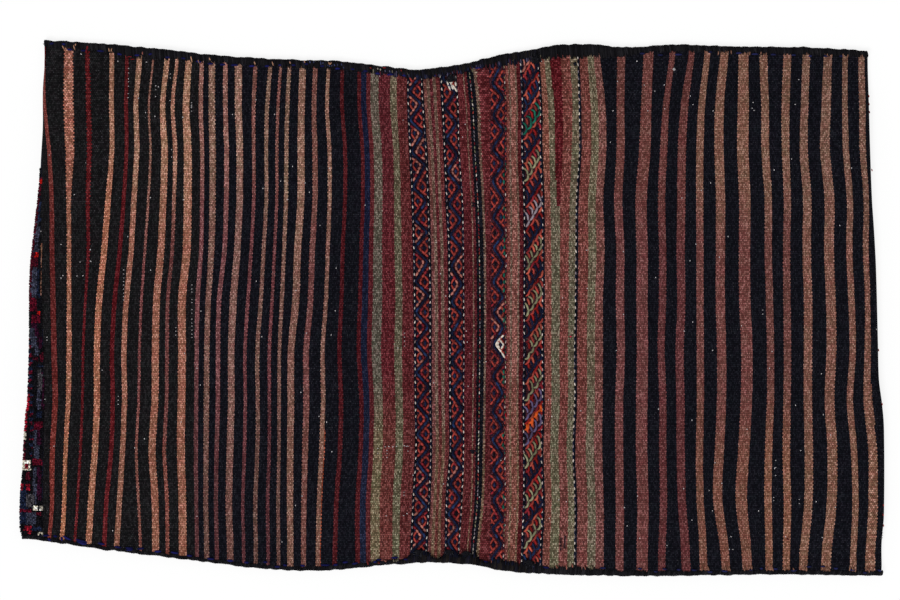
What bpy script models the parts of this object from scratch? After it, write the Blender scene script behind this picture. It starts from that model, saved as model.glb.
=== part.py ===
"""Double saddle bag of wool, lying flat with its striped back upward.

One woven strip runs from the mouth of the left pouch round that pouch's fold, along the
striped back, over the bridge between the mouths, and round the other fold to the mouth
of the right pouch. The front panels below are thicker, because they have a knotted pile.
The layers of each pouch are held together along both sides by an overcast binding.
x runs along the strip, y across it and z up, in metres; the origin is on the ground
below the middle of the bag.
"""
import math

import bmesh
import bpy

# Lengths along the strip.
LEFT_POUCH = 0.4294
BRIDGE = 0.2028
RIGHT_POUCH = 0.4217
HEM = 0.014
# Width over the bindings where the bag is widest.
WIDTH = 0.6655
# Thicknesses of the cloth.
KILIM = 0.0030
PILE = 0.0070
SELVEDGE = 0.0030
# How the layers lie: room in the pouch, room between them at the seam, and the height
# of the front panel's bare edge and of the bridge's underside above the ground.
POUCH_ROOM = 0.0130
SEAM_ROOM = 0.0016
SEAM_LIFT = 0.0024
BRIDGE_LIFT = 0.0026
# Distances over which the cloth changes height: bare edge to pile, seam to full pouch,
# and mouth to resting bridge, which starts a little way past the mouth.
PILE_RISE = 0.012
POUCH_RISE = 0.070
BRIDGE_FALL = 0.070
MOUTH_OVERHANG = 0.006
# Bindings: wool wall, how far it reaches over the cloth, its bulge at the edge, how much
# cloth stays bare beyond it, and the length of one straight piece of the model.
BINDING_WALL = 0.0020
BINDING_REACH = 0.0065
BINDING_BULGE = 0.0008
BARE_CLOTH = 0.0015
BINDING_STEP = 0.0130
# Gap kept between neighbouring pieces.
CLEAR = 0.0003
# Lumps of goat hair: radius, height, and each one's side and distance from a mouth,
# which is measured towards the middle of the bridge.
KNOT_RADIUS = 0.0062
KNOT_HEIGHT = 0.0060
KNOTS = (("far", "left", 0.0946), ("far", "right", 0.0030), ("near", "left", 0.0540),
         ("near", "left", 0.0920), ("near", "right", 0.0888), ("near", "right", 0.0110))

# Each fold's wander along the strip: (share of the width from the near edge, metres).
LEFT_WANDER = ((0.0, -0.0097), (0.07, -0.0123), (0.20, -0.0066), (0.33, -0.0010),
               (0.50, 0.0), (0.64, 0.0065), (0.77, 0.0140), (1.0, 0.0177))
RIGHT_WANDER = ((0.0, 0.0068), (0.11, 0.0087), (0.27, 0.0087), (0.34, 0.0055),
                (0.50, 0.0), (0.68, -0.0050), (0.82, -0.0090), (1.0, -0.0112))
# Each side's dip from a straight edge: (share of the way between the folds, metres).
FAR_DIP = ((0.0, 0.0), (0.12, 0.0074), (0.23, 0.0195), (0.35, 0.0236), (0.46, 0.0360),
           (0.53, 0.0250), (0.62, 0.0055), (0.76, 0.0049), (0.88, 0.0082), (1.0, 0.0128))
NEAR_DIP = ((0.0, 0.0473), (0.09, 0.0331), (0.18, 0.0207), (0.26, 0.0112), (0.33, 0.0071),
            (0.39, 0.0103), (0.47, 0.0174), (0.53, 0.0137), (0.59, 0.0044), (0.67, 0.0015),
            (0.81, 0.0013), (1.0, 0.0))

# Yarns and the grounds of the pile, as linear colours.
YARNS = {
    "black_wool": (0.009, 0.010, 0.014),
    "camel_wool": (0.420, 0.235, 0.160),
    "rose_wool": (0.245, 0.080, 0.075),
    "madder_wool": (0.155, 0.018, 0.022),
    "brick_wool": (0.165, 0.035, 0.026),
    "sage_wool": (0.160, 0.150, 0.090),
    "navy_wool": (0.014, 0.020, 0.066),
    "pile_ground": (0.016, 0.020, 0.052),
    "pile_border": (0.085, 0.012, 0.020),
    "overcast_wool": (0.008, 0.008, 0.010),
    "goat_hair": (0.006, 0.006, 0.007),
}

# The weft stripes of each part of the back, from left to right: yarn and width in
# millimetres. Each list is fitted to the length of its part.
B, C, R, M = "black_wool", "camel_wool", "rose_wool", "madder_wool"
K, S, N = "brick_wool", "sage_wool", "navy_wool"
LEFT_BACK = ((B, 13.8), (M, 7.3), (B, 14.1), (C, 6.5), (B, 16.2), (M, 4.4), (B, 10.1),
             (C, 8.7), (B, 12.7), (M, 6.5), (B, 5.2), (C, 9.1), (B, 12.3), (R, 3.7),
             (B, 12.4), (C, 9.1), (B, 6.8), (R, 5.1), (B, 11.3), (C, 9.1), (B, 10.9),
             (R, 5.2), (B, 7.2), (C, 6.1), (B, 9.8), (R, 5.0), (B, 10.9), (C, 7.6),
             (B, 10.9), (R, 4.9), (B, 10.8), (C, 5.5), (B, 9.1), (R, 4.5), (B, 7.0),
             (C, 5.5), (B, 9.7), (C, 9.0), (B, 10.4), (R, 7.1), (B, 12.9), (C, 5.7),
             (B, 13.9), (M, 5.5), (B, 17.8), (M, 5.3), (N, 7.0), (M, 7.0))
BRIDGE_BACK = ((S, 10.7), (R, 14.9), (S, 10.0), (K, 12.9), (N, 3.7), (M, 15.5), (N, 4.0),
               (R, 20.3), (N, 3.7), (M, 15.0), (N, 3.7), (K, 13.7), (B, 8.7), (S, 5.0),
               (K, 6.2), (M, 16.2), (S, 16.9), (M, 7.6), (N, 15.3))
RIGHT_BACK = ((N, 8.7), (R, 6.2), (S, 11.2), (R, 10.0), (S, 8.7), (N, 3.7), (R, 12.4),
              (S, 10.0), (R, 11.2), (B, 14.9), (R, 11.2), (B, 13.7), (R, 14.9), (B, 12.4),
              (R, 11.2), (B, 11.2), (R, 11.2), (B, 13.7), (R, 10.0), (B, 13.7), (C, 12.4),
              (B, 16.2), (C, 16.2), (B, 16.2), (C, 11.2), (B, 11.2), (C, 11.2), (B, 14.9),
              (R, 12.4), (B, 13.7), (C, 13.7), (B, 13.0), (C, 9.3), (B, 13.7), (C, 4.7))
# The pile fronts: width of the border round the ground, and the longest flat face.
PILE_BORDER = 0.068
FRONT_STEP = 0.023
# Each fold: flat faces round it, and the share of its turn that the pile covers.
FOLD_STEPS = 6
LEFT_PILE_TURN = 0.75
RIGHT_PILE_TURN = 0.35
MIDDLE_ROWS = 5

STRIP = LEFT_POUCH + BRIDGE + RIGHT_POUCH
LEFT_MOUTH = LEFT_POUCH
RIGHT_MOUTH = LEFT_POUCH + BRIDGE
LEFT_REACH = -min(d for _, d in LEFT_WANDER)
RIGHT_REACH = max(d for _, d in RIGHT_WANDER)
LEFT_X = LEFT_REACH - (STRIP + LEFT_REACH + RIGHT_REACH) / 2
EDGE_INSET = BINDING_WALL + BINDING_BULGE + CLEAR
BARE_EDGE = BINDING_REACH + BARE_CLOTH
PILE_EDGE = BARE_EDGE + PILE_RISE
ROW_INSETS = (0.0, BARE_EDGE, PILE_EDGE, (PILE_EDGE + PILE_BORDER) / 2, PILE_BORDER)


def ease(f):
    """Goes smoothly from 0 to 1 as f does, and stays there."""
    f = min(max(f, 0.0), 1.0)
    return f * f * (3 - 2 * f)


def mix(a, b, f):
    return a + (b - a) * f


def curve(points, t):
    """Reads the smooth curve through (place, value) points at place t."""
    last = len(points) - 1
    k = min(max(sum(place <= t for place, _ in points) - 1, 0), last - 1)

    def slope(i):
        lo, hi = max(i - 1, 0), min(i + 1, last)
        return (points[hi][1] - points[lo][1]) / (points[hi][0] - points[lo][0])

    (t0, v0), (t1, v1) = points[k], points[k + 1]
    span = t1 - t0
    f = min(max((t - t0) / span, 0.0), 1.0)
    rise0, rise1 = slope(k) * span, slope(k + 1) * span
    return (v0 * (1 + 2 * f) * (1 - f) ** 2 + rise0 * f * (1 - f) ** 2
            + v1 * f * f * (3 - 2 * f) - rise1 * f * f * (1 - f))


def side_y(m, far):
    """The cloth's edge, m metres along the strip from the left fold."""
    dip = curve(FAR_DIP if far else NEAR_DIP, m / STRIP)
    y = WIDTH / 2 - dip - EDGE_INSET
    return y if far else -y


def x_at(m, y):
    """The x of a place m along the strip, which leans as the nearer fold does."""
    near, far = side_y(m, False), side_y(m, True)
    share = (y - near) / (far - near)
    lean = 0.0
    if m < LEFT_MOUTH:
        lean = curve(LEFT_WANDER, share) * (1 - m / LEFT_POUCH)
    elif m > RIGHT_MOUTH:
        lean = curve(RIGHT_WANDER, share) * (m - RIGHT_MOUTH) / RIGHT_POUCH
    return LEFT_X + m + lean


def edge_inset(m, y):
    return min(y - side_y(m, False), side_y(m, True) - y)


def front_height(inset):
    """Height of the front panel's outer face: on the ground, and lifted at its bare edge."""
    return SEAM_LIFT * (1 - ease((inset - BARE_EDGE) / PILE_RISE))


def front_thickness(inset):
    return mix(SELVEDGE, PILE, ease((inset - BARE_EDGE) / PILE_RISE))


def back_height(m, inset):
    """Height of the back's outer face, over a pouch or sinking to the resting bridge."""
    fill = POUCH_ROOM * ease((inset - BARE_EDGE) / POUCH_RISE)
    pouch = SEAM_LIFT + SELVEDGE + SEAM_ROOM + KILIM + fill
    past = min(m - LEFT_MOUTH, RIGHT_MOUTH - m) - MOUTH_OVERHANG
    return mix(pouch, BRIDGE_LIFT + KILIM, ease(past / BRIDGE_FALL))


def shares(widths):
    """The places, from 0 to 1, of the edges between stripes of these widths."""
    places = [0.0]
    for width in widths:
        places.append(places[-1] + width / sum(widths))
    return places


def front_columns(length):
    """A pile front's columns from fold to mouth, and their places: border, ground, border
    and hem, each in faces short enough to follow the bag's outline."""
    ground = length - HEM - 2 * PILE_BORDER
    columns = []
    for yarn, width in (("pile_border", PILE_BORDER), ("pile_ground", ground),
                        ("pile_border", PILE_BORDER), ("black_wool", HEM)):
        faces = math.ceil(width / FRONT_STEP)
        columns += [(yarn, width / faces)] * faces
    return [yarn for yarn, _ in columns], shares([width for _, width in columns])


def strip_columns():
    """The strip's lines from mouth to mouth, as (part, share of the part), and the yarn
    of the column after each line. A share is 0 at a part's left end, and at a fold it is
    0 below and 1 above."""
    lines, yarns = [], []
    front_yarns, places = front_columns(LEFT_POUCH)
    lines += [("left_front", place) for place in places[:0:-1]]
    yarns += front_yarns[::-1]
    for i in range(FOLD_STEPS):
        lines.append(("left_fold", i / FOLD_STEPS))
        covered = (i + 0.5) / FOLD_STEPS < LEFT_PILE_TURN
        yarns.append("pile_border" if covered else "black_wool")
    for part, draft in (("left_back", LEFT_BACK), ("bridge", BRIDGE_BACK),
                        ("right_back", RIGHT_BACK)):
        lines += [(part, place) for place in shares([width for _, width in draft])[:-1]]
        yarns += [yarn for yarn, _ in draft]
    for i in reversed(range(FOLD_STEPS)):
        lines.append(("right_fold", (i + 1) / FOLD_STEPS))
        covered = (i + 0.5) / FOLD_STEPS < RIGHT_PILE_TURN
        yarns.append("pile_border" if covered else "black_wool")
    front_yarns, places = front_columns(RIGHT_POUCH)
    lines += [("right_front", 1 - place) for place in places]
    yarns += front_yarns
    return lines, yarns


def strip_rows():
    """The strip's lines across, from near to far: (distance in from an edge, far side),
    or (None, share of the way between the innermost two)."""
    near = [(inset, False) for inset in ROW_INSETS]
    far = [(inset, True) for inset in reversed(ROW_INSETS)]
    middle = [(None, (i + 1) / (MIDDLE_ROWS + 1)) for i in range(MIDDLE_ROWS)]
    return near + middle + far


def row_y(m, row):
    near, far = side_y(m, False), side_y(m, True)
    inset, place = row
    if inset is None:
        return mix(near + PILE_BORDER, far - PILE_BORDER, place)
    return far - inset if place else near + inset


def strip_corner(part, share, row):
    """Where a corner of the strip's outer face lies, and how thick the cloth is there."""
    fold_m = 0.0 if part.startswith("left") else STRIP
    fold_inset = edge_inset(fold_m, row_y(fold_m, row))
    radius = (back_height(fold_m, fold_inset) - front_height(fold_inset)) / 2
    if part.endswith("fold"):
        left = part == "left_fold"
        y = row_y(fold_m, row)
        turn = math.pi * share
        inward = radius * (1 - math.sin(turn))
        x = x_at(fold_m, y) + (inward if left else -inward)
        z = front_height(fold_inset) + radius * (1 - math.cos(turn))
        covered = share < (LEFT_PILE_TURN if left else RIGHT_PILE_TURN)
        full = front_thickness(fold_inset) if covered else KILIM
        return (x, y, z), min(full, radius - 2 * CLEAR)
    left_span, right_span = (radius, LEFT_MOUTH), (RIGHT_MOUTH, STRIP - radius)
    spans = {"left_front": left_span, "left_back": left_span, "bridge": (LEFT_MOUTH, RIGHT_MOUTH),
             "right_back": right_span, "right_front": right_span}
    m = mix(*spans[part], share)
    y = row_y(m, row)
    inset = edge_inset(m, y)
    if part.endswith("front"):
        at_mouth = share == (1 if part == "left_front" else 0)
        thickness = SELVEDGE if at_mouth else front_thickness(inset)
        return (x_at(m, y), y, front_height(inset)), thickness
    return (x_at(m, y), y, back_height(m, inset)), KILIM


def clear_scene():
    for thing in list(bpy.data.objects):
        bpy.data.objects.remove(thing, do_unlink=True)


def yarn_material(name):
    """A dull wool of one colour."""
    material = bpy.data.materials.get(name) or bpy.data.materials.new(name)
    material.use_nodes = True
    shader = material.node_tree.nodes["Principled BSDF"]
    shader.inputs["Base Color"].default_value = (*YARNS[name], 1)
    shader.inputs["Roughness"].default_value = 0.9
    shader.inputs["Metallic"].default_value = 0.0
    material.diffuse_color = (*YARNS[name], 1)
    return material


def grid_object(name, columns, rows, place, yarn_of, collection):
    """A grid whose corner (i, j) is moved to place(i, j), with a yarn for each face.
    Also returns each vertex's (i, j)."""
    bm = bmesh.new()
    bmesh.ops.create_grid(bm, x_segments=columns, y_segments=rows, size=0.5)
    index = {v: (round((v.co.x + 0.5) * columns), round((v.co.y + 0.5) * rows))
             for v in bm.verts}
    yarns = []
    for face in bm.faces:
        yarn = yarn_of(min(index[v][0] for v in face.verts),
                       min(index[v][1] for v in face.verts))
        if yarn not in yarns:
            yarns.append(yarn)
        face.material_index = yarns.index(yarn)
        face.smooth = True
    corners = [index[v] for v in bm.verts]
    for v in bm.verts:
        v.co = place(*index[v])
    mesh = bpy.data.meshes.new(name)
    bm.to_mesh(mesh)
    bm.free()
    for yarn in yarns:
        mesh.materials.append(yarn_material(yarn))
    piece = bpy.data.objects.new(name, mesh)
    collection.objects.link(piece)
    return piece, corners


def woven_strip(collection):
    """The one folded cloth: striped back, bridge and both pile fronts."""
    lines, yarns = strip_columns()
    rows = strip_rows()
    border_rows = len(ROW_INSETS) - 1

    def yarn_of(i, j):
        in_border = j < border_rows or j >= len(rows) - 1 - border_rows
        return "pile_border" if yarns[i] == "pile_ground" and in_border else yarns[i]

    def corner(i, j):
        return strip_corner(*lines[i], rows[j])

    strip, corners = grid_object("woven_strip", len(lines) - 1, len(rows) - 1,
                                 lambda i, j: corner(i, j)[0], yarn_of, collection)
    group = strip.vertex_groups.new(name="thickness")
    for vertex, (i, j) in enumerate(corners):
        group.add([vertex], corner(i, j)[1] / PILE, "REPLACE")
    wall = strip.modifiers.new("cloth", "SOLIDIFY")
    wall.thickness = PILE
    wall.offset = -1
    wall.vertex_group = group.name


def edge_binding(name, start, end, far, on_bridge, collection):
    """Wool overcast round the edge of the cloth, as an open channel along one side."""
    steps = math.ceil((end - start) / BINDING_STEP)

    def profile(m):
        top = back_height(m, 0.0)
        low = top - KILIM if on_bridge else front_height(0.0)
        top, low = top + CLEAR, low - CLEAR
        points = [(-BINDING_REACH, top), (CLEAR, top), (CLEAR + BINDING_BULGE, (top + low) / 2),
                  (CLEAR, low), (-BINDING_REACH, low)]
        return points if far else points[::-1]

    def place(i, j):
        m = mix(start, end, i / steps)
        out, z = profile(m)[j]
        edge = side_y(m, far)
        return x_at(m, edge), edge + (out if far else -out), z

    binding, _ = grid_object(name, steps, len(profile(start)) - 1, place,
                             lambda i, j: "overcast_wool", collection)
    wall = binding.modifiers.new("wool", "SOLIDIFY")
    wall.thickness = BINDING_WALL
    wall.offset = 1


def hair_knot(name, side, mouth, distance, collection):
    """A lump of dark goat hair sewn onto the cloth just inside the binding."""
    bm = bmesh.new()
    bmesh.ops.create_uvsphere(bm, u_segments=12, v_segments=8, radius=KNOT_RADIUS)
    flattening = KNOT_HEIGHT / (2 * KNOT_RADIUS)
    bmesh.ops.scale(bm, vec=(1, 1, flattening), verts=bm.verts)
    for face in bm.faces:
        face.smooth = True
    mesh = bpy.data.meshes.new(name)
    bm.to_mesh(mesh)
    bm.free()
    mesh.materials.append(yarn_material("goat_hair"))
    knot = bpy.data.objects.new(name, mesh)
    m = LEFT_MOUTH + distance if mouth == "left" else RIGHT_MOUTH - distance
    inset = BINDING_REACH + CLEAR + KNOT_RADIUS
    edge = side_y(m, side == "far")
    y = edge - inset if side == "far" else edge + inset
    knot.location = (x_at(m, y), y, back_height(m, inset) + CLEAR + KNOT_HEIGHT / 2)
    collection.objects.link(knot)


def saddle_bag():
    collection = bpy.data.collections.new("double_saddle_bag")
    bpy.context.scene.collection.children.link(collection)
    woven_strip(collection)
    gap = CLEAR / 2
    for side in ("near", "far"):
        far = side == "far"
        edge_binding(f"left_seam_binding_{side}", CLEAR, LEFT_MOUTH - gap, far, False, collection)
        edge_binding(f"bridge_binding_{side}", LEFT_MOUTH + gap, RIGHT_MOUTH - gap, far, True,
                     collection)
        edge_binding(f"right_seam_binding_{side}", RIGHT_MOUTH + gap, STRIP - CLEAR, far, False,
                     collection)
    for count, (side, mouth, distance) in enumerate(KNOTS, 1):
        hair_knot(f"hair_knot_{count}", side, mouth, distance, collection)


clear_scene()
saddle_bag()
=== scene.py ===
"""Looks of a double saddle bag of wool, laid flat with its striped back upward.

The script follows the bag as it is made: the cloth with its stripes, the brocaded bands of the
bridge, the pile that shows at the left fold, the overcast edges, the lumps of goat hair, the
running stitches and the loose ends. x runs along the bag, y across it and z up, in metres.
"""
import bisect
import math
import random

import bpy
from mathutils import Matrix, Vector, noise


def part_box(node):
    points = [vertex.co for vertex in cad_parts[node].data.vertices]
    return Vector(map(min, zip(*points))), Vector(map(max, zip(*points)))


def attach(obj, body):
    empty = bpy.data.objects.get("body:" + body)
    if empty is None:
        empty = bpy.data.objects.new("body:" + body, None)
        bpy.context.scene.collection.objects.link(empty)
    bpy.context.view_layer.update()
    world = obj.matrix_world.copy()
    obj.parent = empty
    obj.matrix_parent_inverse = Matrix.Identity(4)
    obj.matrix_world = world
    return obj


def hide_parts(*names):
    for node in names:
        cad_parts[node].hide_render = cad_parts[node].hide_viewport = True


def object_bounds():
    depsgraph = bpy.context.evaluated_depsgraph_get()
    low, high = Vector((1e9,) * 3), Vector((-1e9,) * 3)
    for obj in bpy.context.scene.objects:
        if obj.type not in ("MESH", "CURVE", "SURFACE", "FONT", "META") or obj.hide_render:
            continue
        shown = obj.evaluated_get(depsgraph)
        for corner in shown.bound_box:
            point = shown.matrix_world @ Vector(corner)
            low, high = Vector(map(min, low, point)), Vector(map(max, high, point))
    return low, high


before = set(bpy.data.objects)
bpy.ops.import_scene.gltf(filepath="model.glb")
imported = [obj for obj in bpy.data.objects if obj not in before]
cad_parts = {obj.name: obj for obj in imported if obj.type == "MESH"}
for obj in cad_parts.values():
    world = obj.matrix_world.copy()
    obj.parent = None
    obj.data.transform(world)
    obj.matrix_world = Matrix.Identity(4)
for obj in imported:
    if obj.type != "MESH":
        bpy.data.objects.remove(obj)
CAD_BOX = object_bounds()

# The bag lies on a white floor under soft, even light, and the camera looks straight down.
# Places were read from the photo, which is 900 by 600 pixels, each 1.244 mm of cloth.
PIXEL = 0.001244
PHOTO_MIDDLE = (450.0, 300.0)
ORIGIN_PIXEL = (452.0, 308.4)
PHOTO_WIDTH = 900
LENS_MM = 150.0
SENSOR_MM = 36.0
FLOOR_SIZE = 12.0
FLOOR_GREY = (0.9, 0.9, 0.9, 1)
SKY_SHARE = 0.55
SUN_TILT = math.radians(34)
SUN_TURN = math.radians(-35)
SUN_SOFTNESS = math.radians(24)
# The share of the floor's white that glows by itself, what the lit rest lacks of full white,
# and how strongly the glow makes up for it.
WHITE_SHARE = 0.82
LIT_LACKS = 0.12
GLOW = 1.0 + LIT_LACKS * (1 - WHITE_SHARE) / WHITE_SHARE


def from_photo(column, row):
    """The x and y of a pixel of the photo."""
    return (column - ORIGIN_PIXEL[0]) * PIXEL, (ORIGIN_PIXEL[1] - row) * PIXEL


def row_y(row):
    return from_photo(0, row)[1]


def add_object(name, data):
    thing = bpy.data.objects.new(name, data)
    bpy.context.scene.collection.objects.link(thing)
    return thing


def new_material(name):
    material = bpy.data.materials.new(name)
    material.use_nodes = True
    return material, material.node_tree


def node(tree, kind, **settings):
    made = tree.nodes.new(kind)
    for key, value in settings.items():
        setattr(made, key, value)
    return made


class Value:
    """A number in a node tree. Adding to it or multiplying it makes the node that does so."""

    def __init__(self, tree, socket):
        self.tree, self.socket = tree, socket

    def by(self, operation, *others):
        return calculate(self.tree, operation, self, *others)

    def __add__(self, other):
        return self.by("ADD", other)

    def __sub__(self, other):
        return self.by("SUBTRACT", other)

    def __rsub__(self, other):
        return calculate(self.tree, "SUBTRACT", other, self)

    def __mul__(self, other):
        return self.by("MULTIPLY", other)

    def __truediv__(self, other):
        return self.by("DIVIDE", other)

    def __pow__(self, other):
        return self.by("POWER", other)


def feed(tree, source, socket):
    """Puts a number, a colour, a value or another node's output into a socket."""
    source = source.socket if isinstance(source, Value) else source
    if isinstance(source, bpy.types.NodeSocket):
        tree.links.new(source, socket)
    else:
        socket.default_value = source


def calculate(tree, operation, *sources):
    made = node(tree, "ShaderNodeMath", operation=operation)
    for source, socket in zip(sources, made.inputs):
        feed(tree, source, socket)
    return Value(tree, made.outputs[0])


def seen_directly(tree):
    """1 for rays from the camera, alone or by way of gloss or glass."""
    path = node(tree, "ShaderNodeLightPath").outputs
    seen = Value(tree, path["Is Camera Ray"])
    for ray in ("Is Glossy Ray", "Is Transmission Ray"):
        seen = seen.by("MAXIMUM", path[ray])
    return seen


def matte(tree, colour, roughness, gloss):
    """Gives a material's shader its colour and makes it matte."""
    shader = tree.nodes["Principled BSDF"]
    feed(tree, colour, shader.inputs["Base Color"])
    shader.inputs["Roughness"].default_value = roughness
    shader.inputs["Specular IOR Level"].default_value = gloss
    return shader


camera = bpy.data.cameras.new("camera")
camera.lens = LENS_MM
camera.sensor_width = SENSOR_MM
view_height = LENS_MM / SENSOR_MM * PHOTO_WIDTH * PIXEL
eye = add_object("camera", camera)
eye.location = (*from_photo(*PHOTO_MIDDLE), view_height + CAD_BOX[1].z / 2)
bpy.context.scene.camera = eye
bpy.context.scene.view_settings.view_transform = "Standard"

sun = bpy.data.lights.new("sun", "SUN")
sun.energy = math.pi * (1 - SKY_SHARE) / math.cos(SUN_TILT)
sun.angle = SUN_SOFTNESS
add_object("sun", sun).rotation_euler = (SUN_TILT, 0, SUN_TURN)

sky = bpy.data.worlds.new("studio")
bpy.context.scene.world = sky
sky.use_nodes = True
sky_light = sky.node_tree.nodes["Background"].inputs
sky_light["Color"].default_value = (1, 1, 1, 1)
feed(sky.node_tree, seen_directly(sky.node_tree) * (1 - SKY_SHARE) + SKY_SHARE,
     sky_light["Strength"])

floor_paint, floor_tree = new_material("white_floor")
glow = node(floor_tree, "ShaderNodeEmission")
glow.inputs["Strength"].default_value = GLOW
floor_mix = node(floor_tree, "ShaderNodeMixShader")
floor_parts = (seen_directly(floor_tree) * WHITE_SHARE,
               matte(floor_tree, FLOOR_GREY, 1.0, 0.0).outputs["BSDF"], glow.outputs["Emission"])
for part, socket in zip(floor_parts, floor_mix.inputs):
    feed(floor_tree, part, socket)
feed(floor_tree, floor_mix.outputs["Shader"],
     floor_tree.nodes["Material Output"].inputs["Surface"])
floor_mesh = bpy.data.meshes.new("floor")
half_floor = FLOOR_SIZE / 2
floor_mesh.from_pydata([(-half_floor, -half_floor, 0), (half_floor, -half_floor, 0),
                        (half_floor, half_floor, 0), (-half_floor, half_floor, 0)],
                       [], [(0, 1, 2, 3)])
floor_mesh.materials.append(floor_paint)
add_object("floor", floor_mesh)

# The woven strip: one length of cloth, weft-faced in wool, whose ends are folded under it
# as the fronts of two pouches. Its own outline and the wander of its wefts are read here.
FAR_EDGE = ((22, 42), (44, 41), (84, 43), (138, 47), (191, 53), (232, 57), (289, 60), (340, 61.5),
            (379, 66), (419, 70), (440, 67.7), (465, 64), (501, 55), (527, 51), (554, 45.5),
            (590, 44.5), (625, 47.5), (676, 45), (734, 47), (810, 47.8), (868, 51), (884, 51))
NEAR_EDGE = ((20, 538), (61, 543), (104, 549.4), (153, 555), (200, 561), (251, 567),
             (296, 570.3), (340, 569), (394, 564), (426, 562), (454, 563), (476, 565),
             (497, 569.5), (527, 572.5), (572, 574.8), (673, 575.5), (772, 574), (882, 575.5))
LEFT_FOLD = ((41, 44), (66, 44), (89, 42.8), (127, 42.8), (158, 41), (180, 40), (200, 38),
             (218, 36), (244, 33), (264, 31), (287, 30), (340, 29.8), (371, 29), (398, 28),
             (416, 26), (438, 24.5), (470, 23), (493, 20.7), (526, 19.9), (538, 22))
RIGHT_FOLD = ((51, 868), (106, 869), (145, 870), (200, 872), (229, 874), (267, 876), (343, 878),
              (380, 879), (403, 882), (428, 884), (514, 884), (543, 882), (571, 882), (576, 880))
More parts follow.
